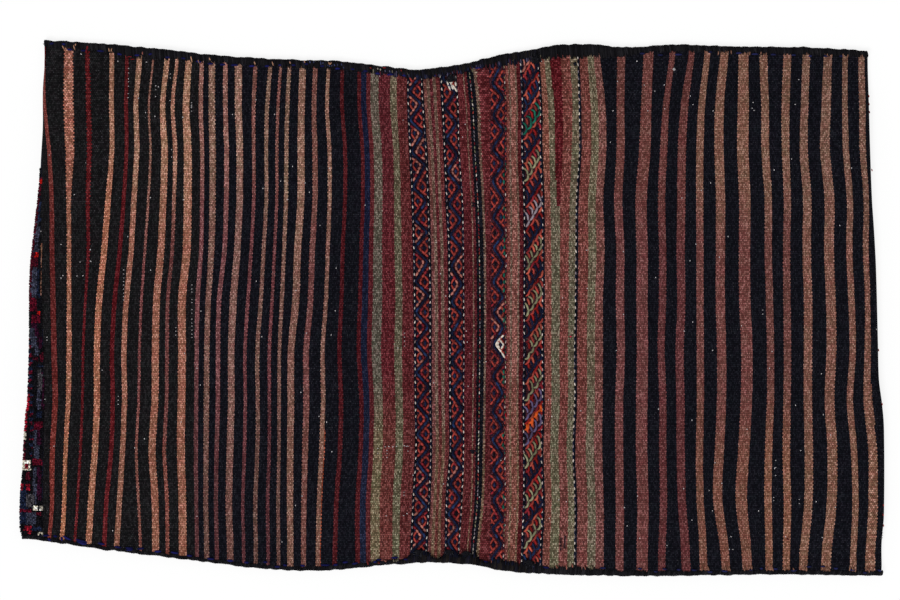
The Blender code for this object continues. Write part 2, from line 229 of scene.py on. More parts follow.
# Weft lines by the pixel at which each crosses these rows, from the left fold to the right.
WEFT_ROWS = (60, 105, 150, 200, 250, 300, 350, 400, 450, 500, 545)
WEFTS = (
    (43.5, 43, 41.5, 38, 32.3, 29.9, 29.4, 27.8, 23.8, 20.2, 22.5),
    (44.2, 43.2, 47.6, 50, 50.2, 50.9, 51.7, 52.8, 50.3, 50, 46.4),
    (44.8, 46.8, 51.8, 54.7, 55.3, 56.6, 57.7, 58.9, 55.8, 54.6, 50.3),
    (62.6, 62.9, 64.9, 66.4, 67, 67, 66.6, 65.9, 63.7, 62, 58.2),
    (73.7, 74.9, 75.4, 72.2, 72.3, 72.3, 72.7, 71.6, 68.7, 67, 63.8),
    (84.8, 86.3, 87, 86.2, 87, 84.6, 82.2, 81.6, 79.6, 76.4, 72.6),
    (88.6, 90.8, 91.6, 90, 90.2, 87.2, 84.8, 84.2, 82.2, 79, 75.2),
    (108.8, 109.2, 109.6, 105.4, 101.2, 96.1, 93.8, 93.8, 91.7, 87.7, 84.4),
    (114.4, 115, 115.4, 112.2, 108.6, 103.7, 101.4, 101.4, 99.3, 95.3, 91.8),
    (124.6, 124.2, 124.8, 121.8, 117.9, 112.6, 110, 110.6, 109.1, 104.2, 101.1),
    (128.3, 128.5, 128.9, 126.3, 122.5, 117.5, 114.8, 115.4, 113.9, 109, 105.9),
    (135.5, 133.4, 134.1, 131.1, 128.4, 123.6, 121.2, 121.6, 119.7, 116.6, 112.9),
    (142, 139.1, 140.3, 137.3, 134.6, 129.8, 127.4, 127.8, 125.9, 122.8, 119.1),
    (151.5, 147.9, 149.4, 147, 143.5, 140, 137.9, 137.1, 134.7, 136.8, 138.1),
    (153.5, 150.2, 152, 150, 146.6, 143.2, 141.1, 140.3, 137.9, 140, 141.3),
    (164, 160.4, 161.5, 160.3, 157.8, 153.4, 152.2, 151.7, 148.8, 151.8, 151.7),
    (169.3, 165.6, 168.5, 167, 165, 160.6, 159.4, 158.9, 156, 159, 158.9),
    (174.7, 170.8, 173, 172.3, 170.6, 166.1, 165.3, 164.8, 162.6, 165.1, 164.9),
    (178.2, 174.6, 177.5, 176, 174.2, 169.7, 168.9, 168.4, 166.2, 168.7, 168.5),
    (185, 182.6, 183.7, 183.7, 182.7, 178, 178, 177.5, 176.9, 178.2, 178),
    (191.6, 190, 192.3, 192.3, 191.3, 186.6, 186.6, 186.1, 185.5, 186.8, 186.6),
    (210.5, 211, 211.8, 211.8, 210.9, 208.3, 206.7, 206.2, 206, 205.7, 205.9),
    (225.2, 225.5, 226.8, 226.6, 224.8, 219, 218, 217.9, 216.6, 215.9, 216.2),
    (237.5, 238, 239.8, 239.5, 237.4, 233.5, 231.4, 231.4, 230, 229, 229.7),
    (270.5, 267.3, 266.2, 266.5, 263.6, 261, 257.3, 257.7, 257.4, 255.2, 255.3),
    (289, 287, 286, 285.5, 283.8, 281.6, 279.5, 279.2, 279, 278.2, 278),
    (302.8, 302, 301.4, 301.3, 297.7, 296, 290.9, 290.6, 290, 290, 290),
    (328.3, 326.5, 329, 329.2, 327.5, 325.7, 322.3, 322.7, 320.9, 318.6, 317.2),
    (342, 342, 345.2, 345, 342.8, 341.5, 339.4, 341, 340, 336.5, 334.7),
    (361.3, 361, 364.4, 364.9, 363.3, 362.2, 360.9, 363.7, 362.9, 360.1, 359.9),
    (390, 389.7, 392.9, 393.7, 394, 394.9, 393.7, 394.9, 394.9, 392.3, 392),
    (406.5, 406.8, 408.6, 410.9, 412.3, 413, 413.5, 413.9, 414.5, 411.7, 410),
    (421.5, 423.7, 426.9, 429.1, 430.3, 431.1, 431, 431.1, 431.7, 430, 427.3),
    (438.5, 441, 443.1, 445.1, 447.4, 448, 448.3, 448.6, 448.9, 445.1, 444.4),
    (455.5, 459, 460, 463.5, 464.3, 464.7, 465, 464.5, 464.5, 463, 460),
    (461.8, 465.8, 468.4, 471.2, 472.8, 473.5, 473.3, 472.8, 472.2, 471.4, 467.6),
    (468.3, 472.7, 474.9, 477.8, 479.3, 480, 479.9, 479.3, 478.6, 477.5, 473.5),
    (473.2, 478, 480, 483.2, 484.9, 485.4, 485.2, 484.7, 484, 482.7, 478),
    (488, 490.6, 490, 490.2, 491.2, 490.7, 490.8, 490, 490, 490.6, 489.6),
    (503, 505, 505, 504.8, 505.4, 504.8, 505, 504.2, 504, 504.5, 503),
    (519.5, 521.3, 521, 523, 523.4, 523.1, 523, 522.3, 522.7, 522.6, 521),
    (539, 541.5, 541.5, 543.5, 543.7, 543.7, 543.4, 543.7, 542.5, 543.7, 542),
    (544, 547.5, 548.7, 549.8, 550.7, 551, 550.8, 551, 549.7, 551, 549.7),
    (570, 572, 571.3, 569.3, 568.4, 568.2, 567.4, 567.6, 566.1, 567.7, 567.3),
    (578, 579, 579.3, 576.3, 575.8, 575.3, 574.4, 574.6, 572.9, 574.7, 574.7),
    (601, 605.7, 606.6, 603.5, 605, 603.3, 603.4, 603, 602.6, 604, 604.4),
    (618, 617, 616.9, 614.5, 616.6, 616.3, 617.2, 615.6, 615.5, 616.1, 616.2),
    (626, 624.8, 625.1, 622.7, 624.8, 624.6, 625.4, 623.8, 623.7, 624.3, 624.4),
    (643.8, 641, 639, 635.3, 636.3, 636.2, 636.6, 636.1, 635.9, 637.1, 636.9),
    (654, 651.8, 650.8, 647.1, 648.1, 648, 648.4, 647.9, 647.7, 648.9, 648.7),
    (669.5, 663, 659.8, 657.8, 658.8, 658.6, 657.5, 659, 659, 659.7, 658.7),
    (675.8, 670, 667.8, 665.8, 666.8, 666.6, 665.3, 667, 667, 667.7, 666.7),
    (688.8, 681, 678, 677.2, 676.7, 677.3, 675.8, 676.5, 676.7, 677.9, 681.3),
    (695, 689, 686.6, 685.8, 685.3, 685.9, 684.4, 685.1, 685.3, 686.5, 690.4),
    (705, 699, 696.8, 696.6, 696.8, 696.9, 697.1, 697.3, 696.4, 697.1, 700),
    (711, 705.8, 704.2, 704, 704.2, 704.3, 704.5, 704.7, 703.8, 704.5, 707.7),
    (720.5, 715.3, 714.5, 716, 715.9, 715.8, 717, 717, 714.8, 713.3, 720.3),
    (729.5, 725, 724.5, 726, 725.9, 725.8, 727, 727, 724.8, 723.3, 729.7),
    (739, 737.5, 736.7, 738.7, 738.4, 738.7, 740.7, 740.2, 737.7, 735.2, 741.3),
    (750, 749.8, 749.3, 751.3, 751, 751.3, 753.3, 752.8, 750.3, 747.8, 752.2),
    (760.2, 761, 761.2, 764.4, 764.5, 765.7, 766.7, 766.7, 764.8, 764.2, 765.7),
    (768, 769, 769.3, 772, 772.1, 773.3, 774.3, 774.3, 772.4, 771.8, 773.3),
    (784.8, 782.2, 782.5, 784.4, 783.6, 783.9, 784.3, 784, 783.3, 784.3, 784.3),
    (792.5, 790, 789.8, 791.2, 790.4, 790.8, 791.3, 791, 790.3, 791.3, 791.3),
    (803.5, 801, 799.8, 803.1, 802.5, 803.9, 803.8, 803.7, 804.6, 804.3, 801),
    (812, 809.5, 808.8, 812.5, 811.9, 813.3, 813.2, 813.1, 814, 813.7, 810.4),
    (824, 821, 819.6, 824, 823.5, 825.3, 825.9, 824, 826.8, 826.2, 822.4),
    (832.5, 830.6, 829.5, 834, 833.5, 835.3, 835.9, 834, 836.8, 836.2, 832.4),
    (841.5, 840.3, 840.8, 844.6, 844.3, 846.3, 847.5, 844.7, 848.7, 850.2, 849.2),
    (848, 846.9, 848.2, 852.2, 851.8, 853.9, 855.1, 852.3, 856.3, 857.8, 856.8),
    (859.5, 859.3, 859.6, 863.4, 862.8, 864.9, 864.3, 863.6, 868.2, 868.2, 866.6),
    (865.2, 865.2, 865.3, 868.4, 867.5, 869, 869.7, 870, 876.2, 877.2, 876),
    (868.2, 869, 870.1, 872, 875, 877, 878.2, 881.6, 884, 884, 882),
)
MIDDLE_ROW = 300
# How many rows each weft line runs on past the first and the last row, and by what share of
# its step between the two rows nearest there.
ROWS_BEFORE, ROWS_AFTER = 18, 25
STEP_BEFORE, STEP_AFTER = 1.25, 1.35
# Where the knotted pile ends on the back, past the left fold.
PILE_END = ((41, 42), (150, 42.4), (180, 42), (240, 41), (300, 42), (350, 43.5), (400, 44.5),
            (440, 43.5), (500, 42.5), (538, 42))
LEFT_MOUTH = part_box("bridge_binding_far")[0].x
RIGHT_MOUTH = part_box("bridge_binding_far")[1].x
KILIM = 0.0030
PILE = 0.0070
LEAST_CORE = 0.001         # what stays free between the layers inside a fold
PILE_EDGE = 0.004
EDGE_INSET = 0.0031
SEAM_LIFT = 0.0024
SEAM_HEIGHT = 0.0100
SEAM_WIDTH = 0.0080
PILE_RISE = 0.012
POUCH_ROOM = CAD_BOX[1].z - SEAM_HEIGHT
POUCH_RISE = 0.070
BRIDGE_HEIGHT = 0.0056
BRIDGE_FALL = 0.070
MOUTH_OVERHANG = 0.006
# The cloth's slow swells and quick puckers: height, then waves a metre along x and y.
SWELL, SWELL_WAVES = 0.0016, (8.0, 6.0, 0.4)
PUCKER, PUCKER_WAVES = 0.0006, (33.0, 15.0, 7.7)
FLAT_EDGE, FLAT_FOLD, SWELL_RISE = 0.004, 0.012, 0.05
FAR_INSIDE = 1.0           # an inset at which nothing of the edge is felt any more
BACK_STEP = 0.0029
FRONT_STEP = 0.0080
FOLD_STEPS = 12
CLOTH_ROWS = 96
ROW_CROWDING = 0.075
UV_RISE = 1.0              # lifts the draft map above 0 on the near side as well


def mix(a, b, f):
    return a + (b - a) * f


def ease(f):
    """Goes smoothly from 0 to 1 as f does, and stays there."""
    f = min(max(f, 0.0), 1.0)
    return f * f * (3 - 2 * f)


def smooth(points):
    """A function that reads the smooth curve through (place, value) points."""
    points = sorted(points)
    places = [place for place, _ in points]
    last = len(points) - 1
    slopes = []
    for i in range(last + 1):
        lo, hi = points[max(i - 1, 0)], points[min(i + 1, last)]
        slopes.append((hi[1] - lo[1]) / (hi[0] - lo[0]))

    def read(t):
        t = min(max(t, places[0]), places[-1])
        k = min(max(bisect.bisect_right(places, t) - 1, 0), last - 1)
        span = places[k + 1] - places[k]
        f = (t - places[k]) / span
        return (points[k][1] * (1 + 2 * f) * (1 - f) ** 2 + slopes[k] * span * f * (1 - f) ** 2
                + points[k + 1][1] * f * f * (3 - 2 * f) - slopes[k + 1] * span * f * f * (1 - f))

    return read


def along_x(pixels):
    return smooth([from_photo(column, row) for column, row in pixels])


def along_y(pixels):
    return smooth([from_photo(column, row)[::-1] for row, column in pixels])


far_edge, near_edge = along_x(FAR_EDGE), along_x(NEAR_EDGE)
left_fold, right_fold = along_y(LEFT_FOLD), along_y(RIGHT_FOLD)
pile_end = along_y(PILE_END)
middle_place = WEFT_ROWS.index(MIDDLE_ROW)


def draft_place(column):
    """How far along the cloth a weft lies that crosses the middle row at this pixel."""
    return (column - WEFTS[0][middle_place]) * PIXEL


weft_places = [draft_place(line[middle_place]) for line in WEFTS]
# The right pouch's raised back is seen farther out than it lies, by this many pixels.
SEEN_OUTWARD = smooth(((590, 0.0), (604, 0.6), (630, 0.8), (682, 1.1), (730, 1.6), (775, 1.6),
                       (815, 1.4), (846, 0.2), (866, 0.0)))
weft_lines = []
for line in WEFTS:
    outward = SEEN_OUTWARD(line[middle_place])
    before = mix(line[1], line[0], STEP_BEFORE)
    after = mix(line[-2], line[-1], STEP_AFTER)
    read = ((WEFT_ROWS[0] - ROWS_BEFORE, before), *zip(WEFT_ROWS, line),
            (WEFT_ROWS[-1] + ROWS_AFTER, after))
    weft_lines.append(along_y([(row, column - outward) for row, column in read]))
weft_lines[0], weft_lines[-1] = left_fold, right_fold
BACK_LENGTH = weft_places[-1]


def weft_x(u, y):
    """The x at which the weft that lies u along the cloth crosses y."""
    k = min(max(bisect.bisect_right(weft_places, u) - 1, 0), len(weft_places) - 2)
    f = (u - weft_places[k]) / (weft_places[k + 1] - weft_places[k])
    return mix(weft_lines[k](y), weft_lines[k + 1](y), f)


def edge_inset(x, y):
    return min(far_edge(x) - y, y - near_edge(x)) - EDGE_INSET


def front_height(inset):
    return SEAM_LIFT * (1 - ease((inset - SEAM_WIDTH) / PILE_RISE))


def pouch_height(inset):
    return SEAM_HEIGHT + POUCH_ROOM * ease((inset - SEAM_WIDTH) / POUCH_RISE)


def fold_radius(inset):
    return (pouch_height(inset) - front_height(inset)) / 2


def waves_at(x, y, waves):
    return noise.noise(Vector((x * waves[0], y * waves[1], waves[2])))


def swell(x, y):
    """The cloth's own unevenness, which dies away at its edges and folds."""
    from_fold = min(x - left_fold(y), right_fold(y) - x)
    free = (ease((edge_inset(x, y) - FLAT_EDGE) / SWELL_RISE)
            * ease((from_fold - FLAT_FOLD) / SWELL_RISE))
    return free * (SWELL * (waves_at(x, y, SWELL_WAVES) - 0.5)
                   + PUCKER * waves_at(x, y, PUCKER_WAVES))


def back_height(x, y):
    """Height of the back's outer face at x, y."""
    inset = edge_inset(x, y)
    past = min(x - LEFT_MOUTH, RIGHT_MOUTH - x) - MOUTH_OVERHANG
    top = mix(pouch_height(inset), BRIDGE_HEIGHT, ease(past / BRIDGE_FALL)) + swell(x, y)
    radius = fold_radius(inset)
    into = min(x - left_fold(y), right_fold(y) - x)
    if into < radius:
        drop = radius - math.sqrt(max(radius ** 2 - (radius - max(into, 0)) ** 2, 0))
        top -= drop
    return top


def strip_columns():
    """The columns of the strip, from mouth to mouth, as (part, place on the part)."""
    columns = []
    turn = [math.pi * i / FOLD_STEPS for i in range(1, FOLD_STEPS)]
    fronts = math.ceil(abs(LEFT_MOUTH - left_fold(0.0)) / FRONT_STEP)
    columns += [("left_front", 1 - i / fronts) for i in range(fronts)]
    columns += [("left_fold", angle) for angle in turn[:FOLD_STEPS // 2]]
    radius = fold_radius(FAR_INSIDE)
    rounded = [radius * (1 - math.sin(angle)) for angle in turn[FOLD_STEPS // 2:]]
    bends = [u for u in weft_places if radius < u < BACK_LENGTH - radius]
    bends = [radius, *bends, BACK_LENGTH - radius]
    straight = bends[-1:]
    for start, end in zip(bends, bends[1:]):
        steps = max(round((end - start) / BACK_STEP), 1)
        straight += [mix(start, end, i / steps) for i in range(steps)]
    columns += [("back", u) for u in sorted(rounded) + sorted(straight)]
    columns += [("back", BACK_LENGTH - u) for u in sorted(rounded, reverse=True)]
    columns += [("right_fold", angle) for angle in reversed(turn[:FOLD_STEPS // 2])]
    columns += [("right_front", (i + 1) / fronts) for i in range(fronts)]
    return columns


def row_share(j):
    """Rows lie closer together towards the cloth's edges."""
    f = j / CLOTH_ROWS
    return f - ROW_CROWDING * math.sin(2 * math.pi * f)


def strip_x(part, place, y, inset):
    radius = fold_radius(inset)
    if part == "back":
        return weft_x(place, y)
    fold, mouth, way = (left_fold(y), LEFT_MOUTH, 1) if part.startswith("left") else (
        right_fold(y), RIGHT_MOUTH, -1)
    if part.endswith("front"):
        return mix(fold + way * radius, mouth, place)
    return fold + way * radius * (1 - math.sin(place))


def strip_point(part, place, share):
    """A point on the strip's outer face, its place in the draft, and the cloth's thickness."""
    inset, y = FAR_INSIDE, 0.0
    for _ in range(3):
        x = strip_x(part, place, y, inset)
        near, far = near_edge(x) + EDGE_INSET, far_edge(x) - EDGE_INSET
        y = mix(near, far, share)
        inset = min(y - near, far - y)
    x = strip_x(part, place, y, inset)
    radius = fold_radius(inset)
    most = radius - LEAST_CORE
    if part == "back":
        piled = ease((pile_end(y) - x) / PILE_EDGE + 0.5)
        return (x, y, back_height(x, y)), (place, y), mix(KILIM, min(PILE, most), piled)
    left = part.startswith("left")
    if part.endswith("fold"):
        z = front_height(inset) + radius * (1 - math.cos(place))
        u = -radius * (math.pi / 2 - place)
        thickness = min(PILE, most)
    else:
        z = front_height(inset)
        fold = left_fold(y) if left else right_fold(y)
        u = -radius * (math.pi / 2 - 1) - abs(x - fold)
        covered = ease((inset - SEAM_WIDTH) / PILE_RISE)
        thickness = KILIM if place >= 1 else min(mix(KILIM, PILE, covered), most)
    return (x, y, z), (u if left else BACK_LENGTH - u, y), thickness


def plain_mesh(thing):
    """Gives an object the plain mesh that its modifiers make, and removes them."""
    seen = thing.evaluated_get(bpy.context.evaluated_depsgraph_get())
    result = bpy.data.meshes.new_from_object(seen)
    thing.modifiers.clear()
    thing.data = result
    return thing


def woven_strip(materials):
    columns = strip_columns()
    points, drafts, walls = zip(*(strip_point(part, place, row_share(j))
                                  for part, place in columns for j in range(CLOTH_ROWS + 1)))
    across = CLOTH_ROWS + 1
    faces = []
    for i in range(len(columns) - 1):
        for j in range(CLOTH_ROWS):
            a = i * across + j
            faces.append((a, a + across, a + across + 1, a + 1))
    mesh = bpy.data.meshes.new("woven_strip_cloth")
    mesh.from_pydata(points, [], faces)
    draft_map = mesh.uv_layers.new(name="draft")
    for loop in mesh.loops:
        u, v = drafts[loop.vertex_index]
        draft_map.data[loop.index].uv = (u, v + UV_RISE)
    for face in mesh.polygons:
        face.use_smooth = True
        middle = face.center
        column = columns[face.index // CLOTH_ROWS][0]
        on_pile = column != "back" or middle.x < pile_end(middle.y)
        face.material_index = 1 if on_pile else 0
    for material in materials:
        mesh.materials.append(material)
    strip = add_object("woven_strip_cloth", mesh)
    group = strip.vertex_groups.new(name="thickness")
    for index, wall in enumerate(walls):
        group.add([index], wall / PILE, "REPLACE")
    solid = strip.modifiers.new("cloth", "SOLIDIFY")
    solid.thickness = PILE
    solid.offset = -1
    solid.vertex_group = group.name
    solid.material_offset = 2
    return plain_mesh(strip)


# The back's yarns, by how they look in daylight on the far side, in the middle and on the near
# side of the bag, and its draft: each weft stripe's yarn and width in millimetres, in order
# from the left fold over the left pouch, the bridge and the right pouch.
DYES = {
    "black": ((23, 23, 25),) * 3,
    "blue_black": ((17, 18, 25),) * 3,
    "night": ((16, 18, 28),) * 3,
    "ground": ((54, 25, 34),) * 3,
    "comb_ground": ((50, 24, 31),) * 3,
    "navy": ((22, 28, 52), (22, 28, 49), (26, 32, 53)),
    "madder": ((114, 54, 49), (90, 34, 33), (112, 46, 40)),
    "oxblood": ((86, 25, 28), (83, 20, 26), (90, 27, 31)),
    "maroon": ((75, 24, 28), (71, 20, 26), (74, 25, 29)),
    "claret": ((87, 34, 38), (77, 27, 33), (81, 33, 36)),
    "wine": ((87, 35, 41), (86, 32, 38), (96, 50, 46)),
    "brick": ((89, 39, 40), (88, 35, 39), (90, 42, 42)),
    "salmon": ((143, 92, 75), (152, 100, 78), (156, 102, 74)),
    "apricot": ((154, 110, 88), (159, 102, 78), (152, 101, 78)),
    "fawn": ((144, 107, 87), (142, 93, 76), (130, 88, 71)),
    "camel": ((156, 114, 91), (144, 94, 76), (138, 90, 72)),
    "sand": ((134, 100, 84), (120, 85, 75), (119, 86, 73)),
    "dim_sand": ((142, 108, 93), (122, 88, 80), (107, 74, 67)),
    "khaki": ((125, 96, 81), (115, 83, 74), (98, 70, 63)),
    "dusty_rose": ((126, 88, 76), (110, 63, 63), (116, 73, 64)),
    "faded_rose": ((150, 106, 88), (102, 60, 58), (115, 66, 57)),
    "mauve": ((117, 76, 69), (100, 57, 60), (82, 46, 50)),
    "pale_mauve": ((136, 94, 85), (112, 69, 71), (83, 49, 51)),
    "salmon_rose": ((112, 73, 65), (107, 66, 64), (108, 70, 63)),
    "rose": ((106, 59, 53), (107, 59, 54), (105, 61, 57)),
    "brick_rose": ((116, 72, 59), (118, 67, 60), (109, 64, 56)),
    "bright_rose": ((122, 76, 68), (120, 75, 68), (111, 67, 58)),
    "dusky_rose": ((109, 69, 63), (108, 67, 62), (104, 64, 61)),
    "rosewood": ((103, 62, 57), (103, 61, 60), (102, 60, 58)),
    "plum_rose": ((97, 56, 53), (91, 50, 51), (88, 47, 48)),
    "tawny": ((121, 86, 71), (107, 65, 61), (114, 75, 62)),
    "ochre": ((118, 86, 71), (102, 64, 59), (124, 84, 66)),
    "tan": ((117, 86, 73), (118, 81, 69), (122, 87, 71)),
    "sage": ((99, 91, 72), (94, 89, 72), (98, 93, 73)),
    "pale_sage": ((101, 93, 73), (98, 90, 72), (97, 90, 74)),
    "grey_sage": ((92, 85, 74), (82, 77, 68), (104, 94, 71)),
    "dull_sage": ((98, 77, 66), (99, 80, 69), (102, 82, 64)),
}
LEFT_DRAFT = (
    ("black", 26.1), ("madder", 7.1), ("black", 12.9), ("salmon", 6.6), ("black", 15.4),
    ("oxblood", 3.2), ("black", 11.4), ("apricot", 8.6), ("black", 11.1), ("oxblood", 7.0),
    ("black", 7.2), ("fawn", 7.7), ("black", 12.7), ("dusty_rose", 4.0), ("black", 12.6),
    ("camel", 9.0), ("black", 6.8), ("faded_rose", 4.5), ("black", 10.3), ("camel", 10.7),
    ("black", 10.6), ("pale_mauve", 6.6), ("blue_black", 6.2), ("khaki", 7.1),
    ("blue_black", 6.9), ("pale_mauve", 5.9), ("blue_black", 9.9), ("dim_sand", 10.2),
    ("blue_black", 10.7), ("mauve", 5.0), ("blue_black", 10.4), ("khaki", 6.0),
    ("blue_black", 8.5), ("mauve", 4.5), ("blue_black", 7.0), ("khaki", 5.5),
    ("blue_black", 10.2), ("sand", 9.6), ("blue_black", 9.1), ("salmon_rose", 7.5),
    ("blue_black", 12.8), ("sand", 6.1), ("blue_black", 13.7), ("maroon", 5.8),
    ("blue_black", 16.7), ("maroon", 6.1), ("navy", 6.6), ("claret", 6.8),
)
BRIDGE_DRAFT = (
    ("grey_sage", 10.8), ("wine", 16.4), ("sage", 8.8), ("brick", 13.7), ("night", 3.7),
    ("ground", 16.2), ("night", 2.7), ("rosewood", 4.6), ("dull_sage", 3.1), ("wine", 4.6),
    ("dull_sage", 3.7), ("brick", 5.0), ("night", 3.7), ("ground", 14.3), ("night", 1.3),
    ("wine", 1.8),
    ("claret", 9.6), ("dull_sage", 1.9), ("claret", 3.3), ("blue_black", 7.9), ("claret", 0.7),
    ("dull_sage", 2.9), ("claret", 5.6), ("ground", 17.8), ("brick", 2.5),
    ("rose", 3.1), ("dull_sage", 2.7), ("bright_rose", 6.0), ("dull_sage", 3.0),
    ("maroon", 5.5), ("night", 3.0), ("comb_ground", 19.5), ("night", 3.0),
)
RIGHT_DRAFT = (
    ("brick_rose", 8.6), ("sage", 10.6), ("rose", 11.2), ("sage", 8.0), ("night", 2.4),
    ("rose", 13.3), ("pale_sage", 9.6), ("dusky_rose", 10.0), ("blue_black", 16.5),
    ("rosewood", 10.3),
    ("blue_black", 14.4), ("rosewood", 14.7), ("blue_black", 13.2), ("plum_rose", 10.0),
    ("blue_black", 13.3), ("plum_rose", 10.7), ("blue_black", 13.6), ("tawny", 9.3),
    ("blue_black", 14.3), ("tawny", 12.4), ("blue_black", 16.4), ("tawny", 14.9),
    ("blue_black", 18.3), ("ochre", 9.5), ("blue_black", 12.8), ("ochre", 9.3),
    ("blue_black", 16.4), ("tan", 10.9), ("blue_black", 15.3), ("tan", 12.4),
    ("blue_black", 14.2), ("tan", 8.4), ("blue_black", 12.1), ("tan", 7.2),
    ("blue_black", 11.7),
)
DARK_DYES = ("black", "blue_black", "night", "navy")
DARK_CREEP = 0.4     # millimetres by which dark yarn beds down over a light stripe's edge
RAMP_STOPS = 30
# Yarn laid in over part of the width only: its left and right pixel at the middle row, its
# top and bottom row, and how it looks.
LAID_IN = (
    (554.9, 562.0, 40, 90, (82, 22, 28)), (555.6, 561.6, 90, 150, (80, 22, 28)),
    (555.6, 561.2, 150, 180, (80, 24, 29)), (556.7, 560.2, 180, 206, (80, 26, 31)),
    (328.3, 329.0, 430, 580, (128, 62, 38)), (561.0, 562.6, 538, 551, (50, 32, 36)),
    (564.6, 566.6, 536, 549, (46, 32, 36)),
    (40.6, 42.4, 244, 300, (120, 84, 66)), (868.4, 870.0, 383, 425, (116, 82, 68)),
)
BRIDGE_COLUMNS = (373, 604)
WARP_PITCH = 0.0023
BEAD_LENGTH = 0.0013
BEAD_WOBBLE = 0.0008
STRIPE_WOBBLE = 0.0010
FAR_ROW, MIDDLE_FROM, MIDDLE_TO, NEAR_ROW = 160, 255, 375, 480
SHADE_SHIFT = 0.20
# Waves a metre of each unevenness, and how it is drawn out along the bag and across it.
WOBBLES, WOBBLES_ALONG, WOBBLES_ACROSS = 95.0, (1, 1.3, 1), (1.7, 0.8, 1)
DRIFTS, DRIFT_STRETCH = 30.0, (1, 1.6, 1)
SHADE_CHANGES, FADES, CLOUDS, STREAKS, FIBRES = 26.0, 16.0, 75.0, 190.0, 950.0
LONG_STREAKS = (1, 0.12, 1)
# How much beads differ in lightness, on the pouches and how much more so on the bridge.
BEAD_CONTRAST, BRIDGE_CONTRAST = 1.28, 0.35
BEAD_LIGHT, BRIDGE_LIGHT = 1.02, 0.02
MEAN_BRIGHT = 0.333
# How much each pick, fade, streak and fibre changes a bead's lightness, and how much painted shade
# the beads' round shape puts in the gaps between them, with a painted highlight on their crests.
PICK_REACH, FADE_REACH, STREAK_REACH, FIBRE_REACH, PAINTED_ROUND_SHADE_REACH = 0.20, 0.30, 0.30, 1.70, 1.50
COOL_WOOL, WARM_WOOL = (0.95, 1.07, 0.97, 1.0), (1.17, 0.90, 0.97, 1.0)
OWN_WARMTH, CLOUD_WARMTH, LEAST_WARMTH = 0.6, 1.3, -0.45
WASHED_SHARE, WASHED_LIGHT = 0.22, 1.5
WOOL_ROUGHNESS, WOOL_GLOSS = 0.95, 0.02
# How full the beads are, and the strength and depth in metres of their bumps.
BEAD_DOME = 0.6
BEAD_BUMPS = (0.7, 0.0007)
# Lint and bare specks of warp: the share of beads, the look, how well it covers, the size of
# the patches it gathers in, and whether it only lightens what lies below.
SPECKS = ((0.012, (70, 68, 74), 0.6, 14.0, "LIGHTEN"),
          (0.0006, (225, 220, 222), 0.9, 22.0, "MIX"))
SPECK_CROWDING = 4
SPECK_TOP = (0.55, 0.85)
# The fronts' pile, of which only a strip at the left fold shows.
KNOT_PITCH = 0.0028
# How much knots differ in lightness, from the darkest on, and how much light their tops have
# over the hollows between them.
KNOT_REACH, KNOT_LEAST, KNOT_ROUND, KNOT_HOLLOW = 0.5, 0.7, 0.7, 0.5
KNOT_BUMPS = (1.0, 0.0012)
FRONT_LENGTH = 0.43
HALF_WIDTH = CAD_BOX[1].y
MOTIF = 0.084
BORDER_WIDTH = 0.070
GUARD_WIDTH = 0.014
INSIDE_LOOK = (44, 34, 34)
# Each colour of the pile from a share of the way on, for field, border and guards.
PILE_FIELD = ((0.0, (128, 36, 40)), (0.14, (170, 150, 126)), (0.2, (34, 44, 74)),
              (0.42, (110, 28, 36)), (0.5, (84, 88, 104)), (0.56, (26, 28, 44)),
              (0.8, (60, 26, 46)), (0.9, (128, 36, 40)))
PILE_BORDER = ((0.0, (26, 28, 44)), (0.24, (84, 88, 104)), (0.34, (104, 26, 36)),
               (0.66, (34, 44, 74)), (0.8, (150, 118, 92)))
PILE_GUARDS = ((0.0, (26, 28, 44)), (0.06, (104, 26, 36)), (0.12, (150, 130, 112)),
               (0.16, (26, 28, 44)), (0.84, (104, 26, 36)), (0.9, (84, 88, 104)),
               (0.96, (26, 28, 44)))


def linear(rgb):
    """A colour as it looks on a screen, 0 to 255, as the renderer's linear values."""
    parts = []
    for level in rgb:
        share = level / 255
        parts.append(share / 12.92 if share <= 0.04045 else ((share + 0.055) / 1.055) ** 2.4)
    return (*parts, 1.0)


def ramp_up(tree, value, start, end):
    """0 before the start and 1 past the end, smoothly in between."""
    made = node(tree, "ShaderNodeMapRange", interpolation_type="SMOOTHSTEP")
    feed(tree, value, made.inputs["Value"])
    made.inputs["From Min"].default_value = start
    made.inputs["From Max"].default_value = end
    return Value(tree, made.outputs["Result"])


def within(value, low, high):
    return value.by("GREATER_THAN", low) * value.by("LESS_THAN", high)


def blend(tree, share, a, b, way="MIX"):
    """Colour b over colour a by a share."""
    made = node(tree, "ShaderNodeMix", data_type="RGBA", blend_type=way)
    feed(tree, share, made.inputs["Factor"])
    colours = [socket for socket in made.inputs if socket.type == "RGBA"]
    feed(tree, a, colours[0])
    feed(tree, b, colours[1])
    return [socket for socket in made.outputs if socket.type == "RGBA"][0]


def grey_of(tree, value):
    made = node(tree, "ShaderNodeCombineColor")
    for socket in made.inputs:
        feed(tree, value, socket)
    return made.outputs["Color"]


def darkened(tree, colour, shade):
    return blend(tree, 1.0, colour, grey_of(tree, shade), "MULTIPLY")


def noise_over(tree, place, scale, detail=2.0, stretch=(1, 1, 1)):
    """Noise from 0 to 1 over a place, finer or coarser along each axis."""
    mapping = node(tree, "ShaderNodeMapping")
    mapping.inputs["Scale"].default_value = [scale * part for part in stretch]
    feed(tree, place, mapping.inputs["Vector"])
    made = node(tree, "ShaderNodeTexNoise")
    made.inputs["Scale"].default_value = 1.0
    made.inputs["Detail"].default_value = detail
    feed(tree, mapping.outputs["Vector"], made.inputs["Vector"])
    return Value(tree, made.outputs["Fac"])


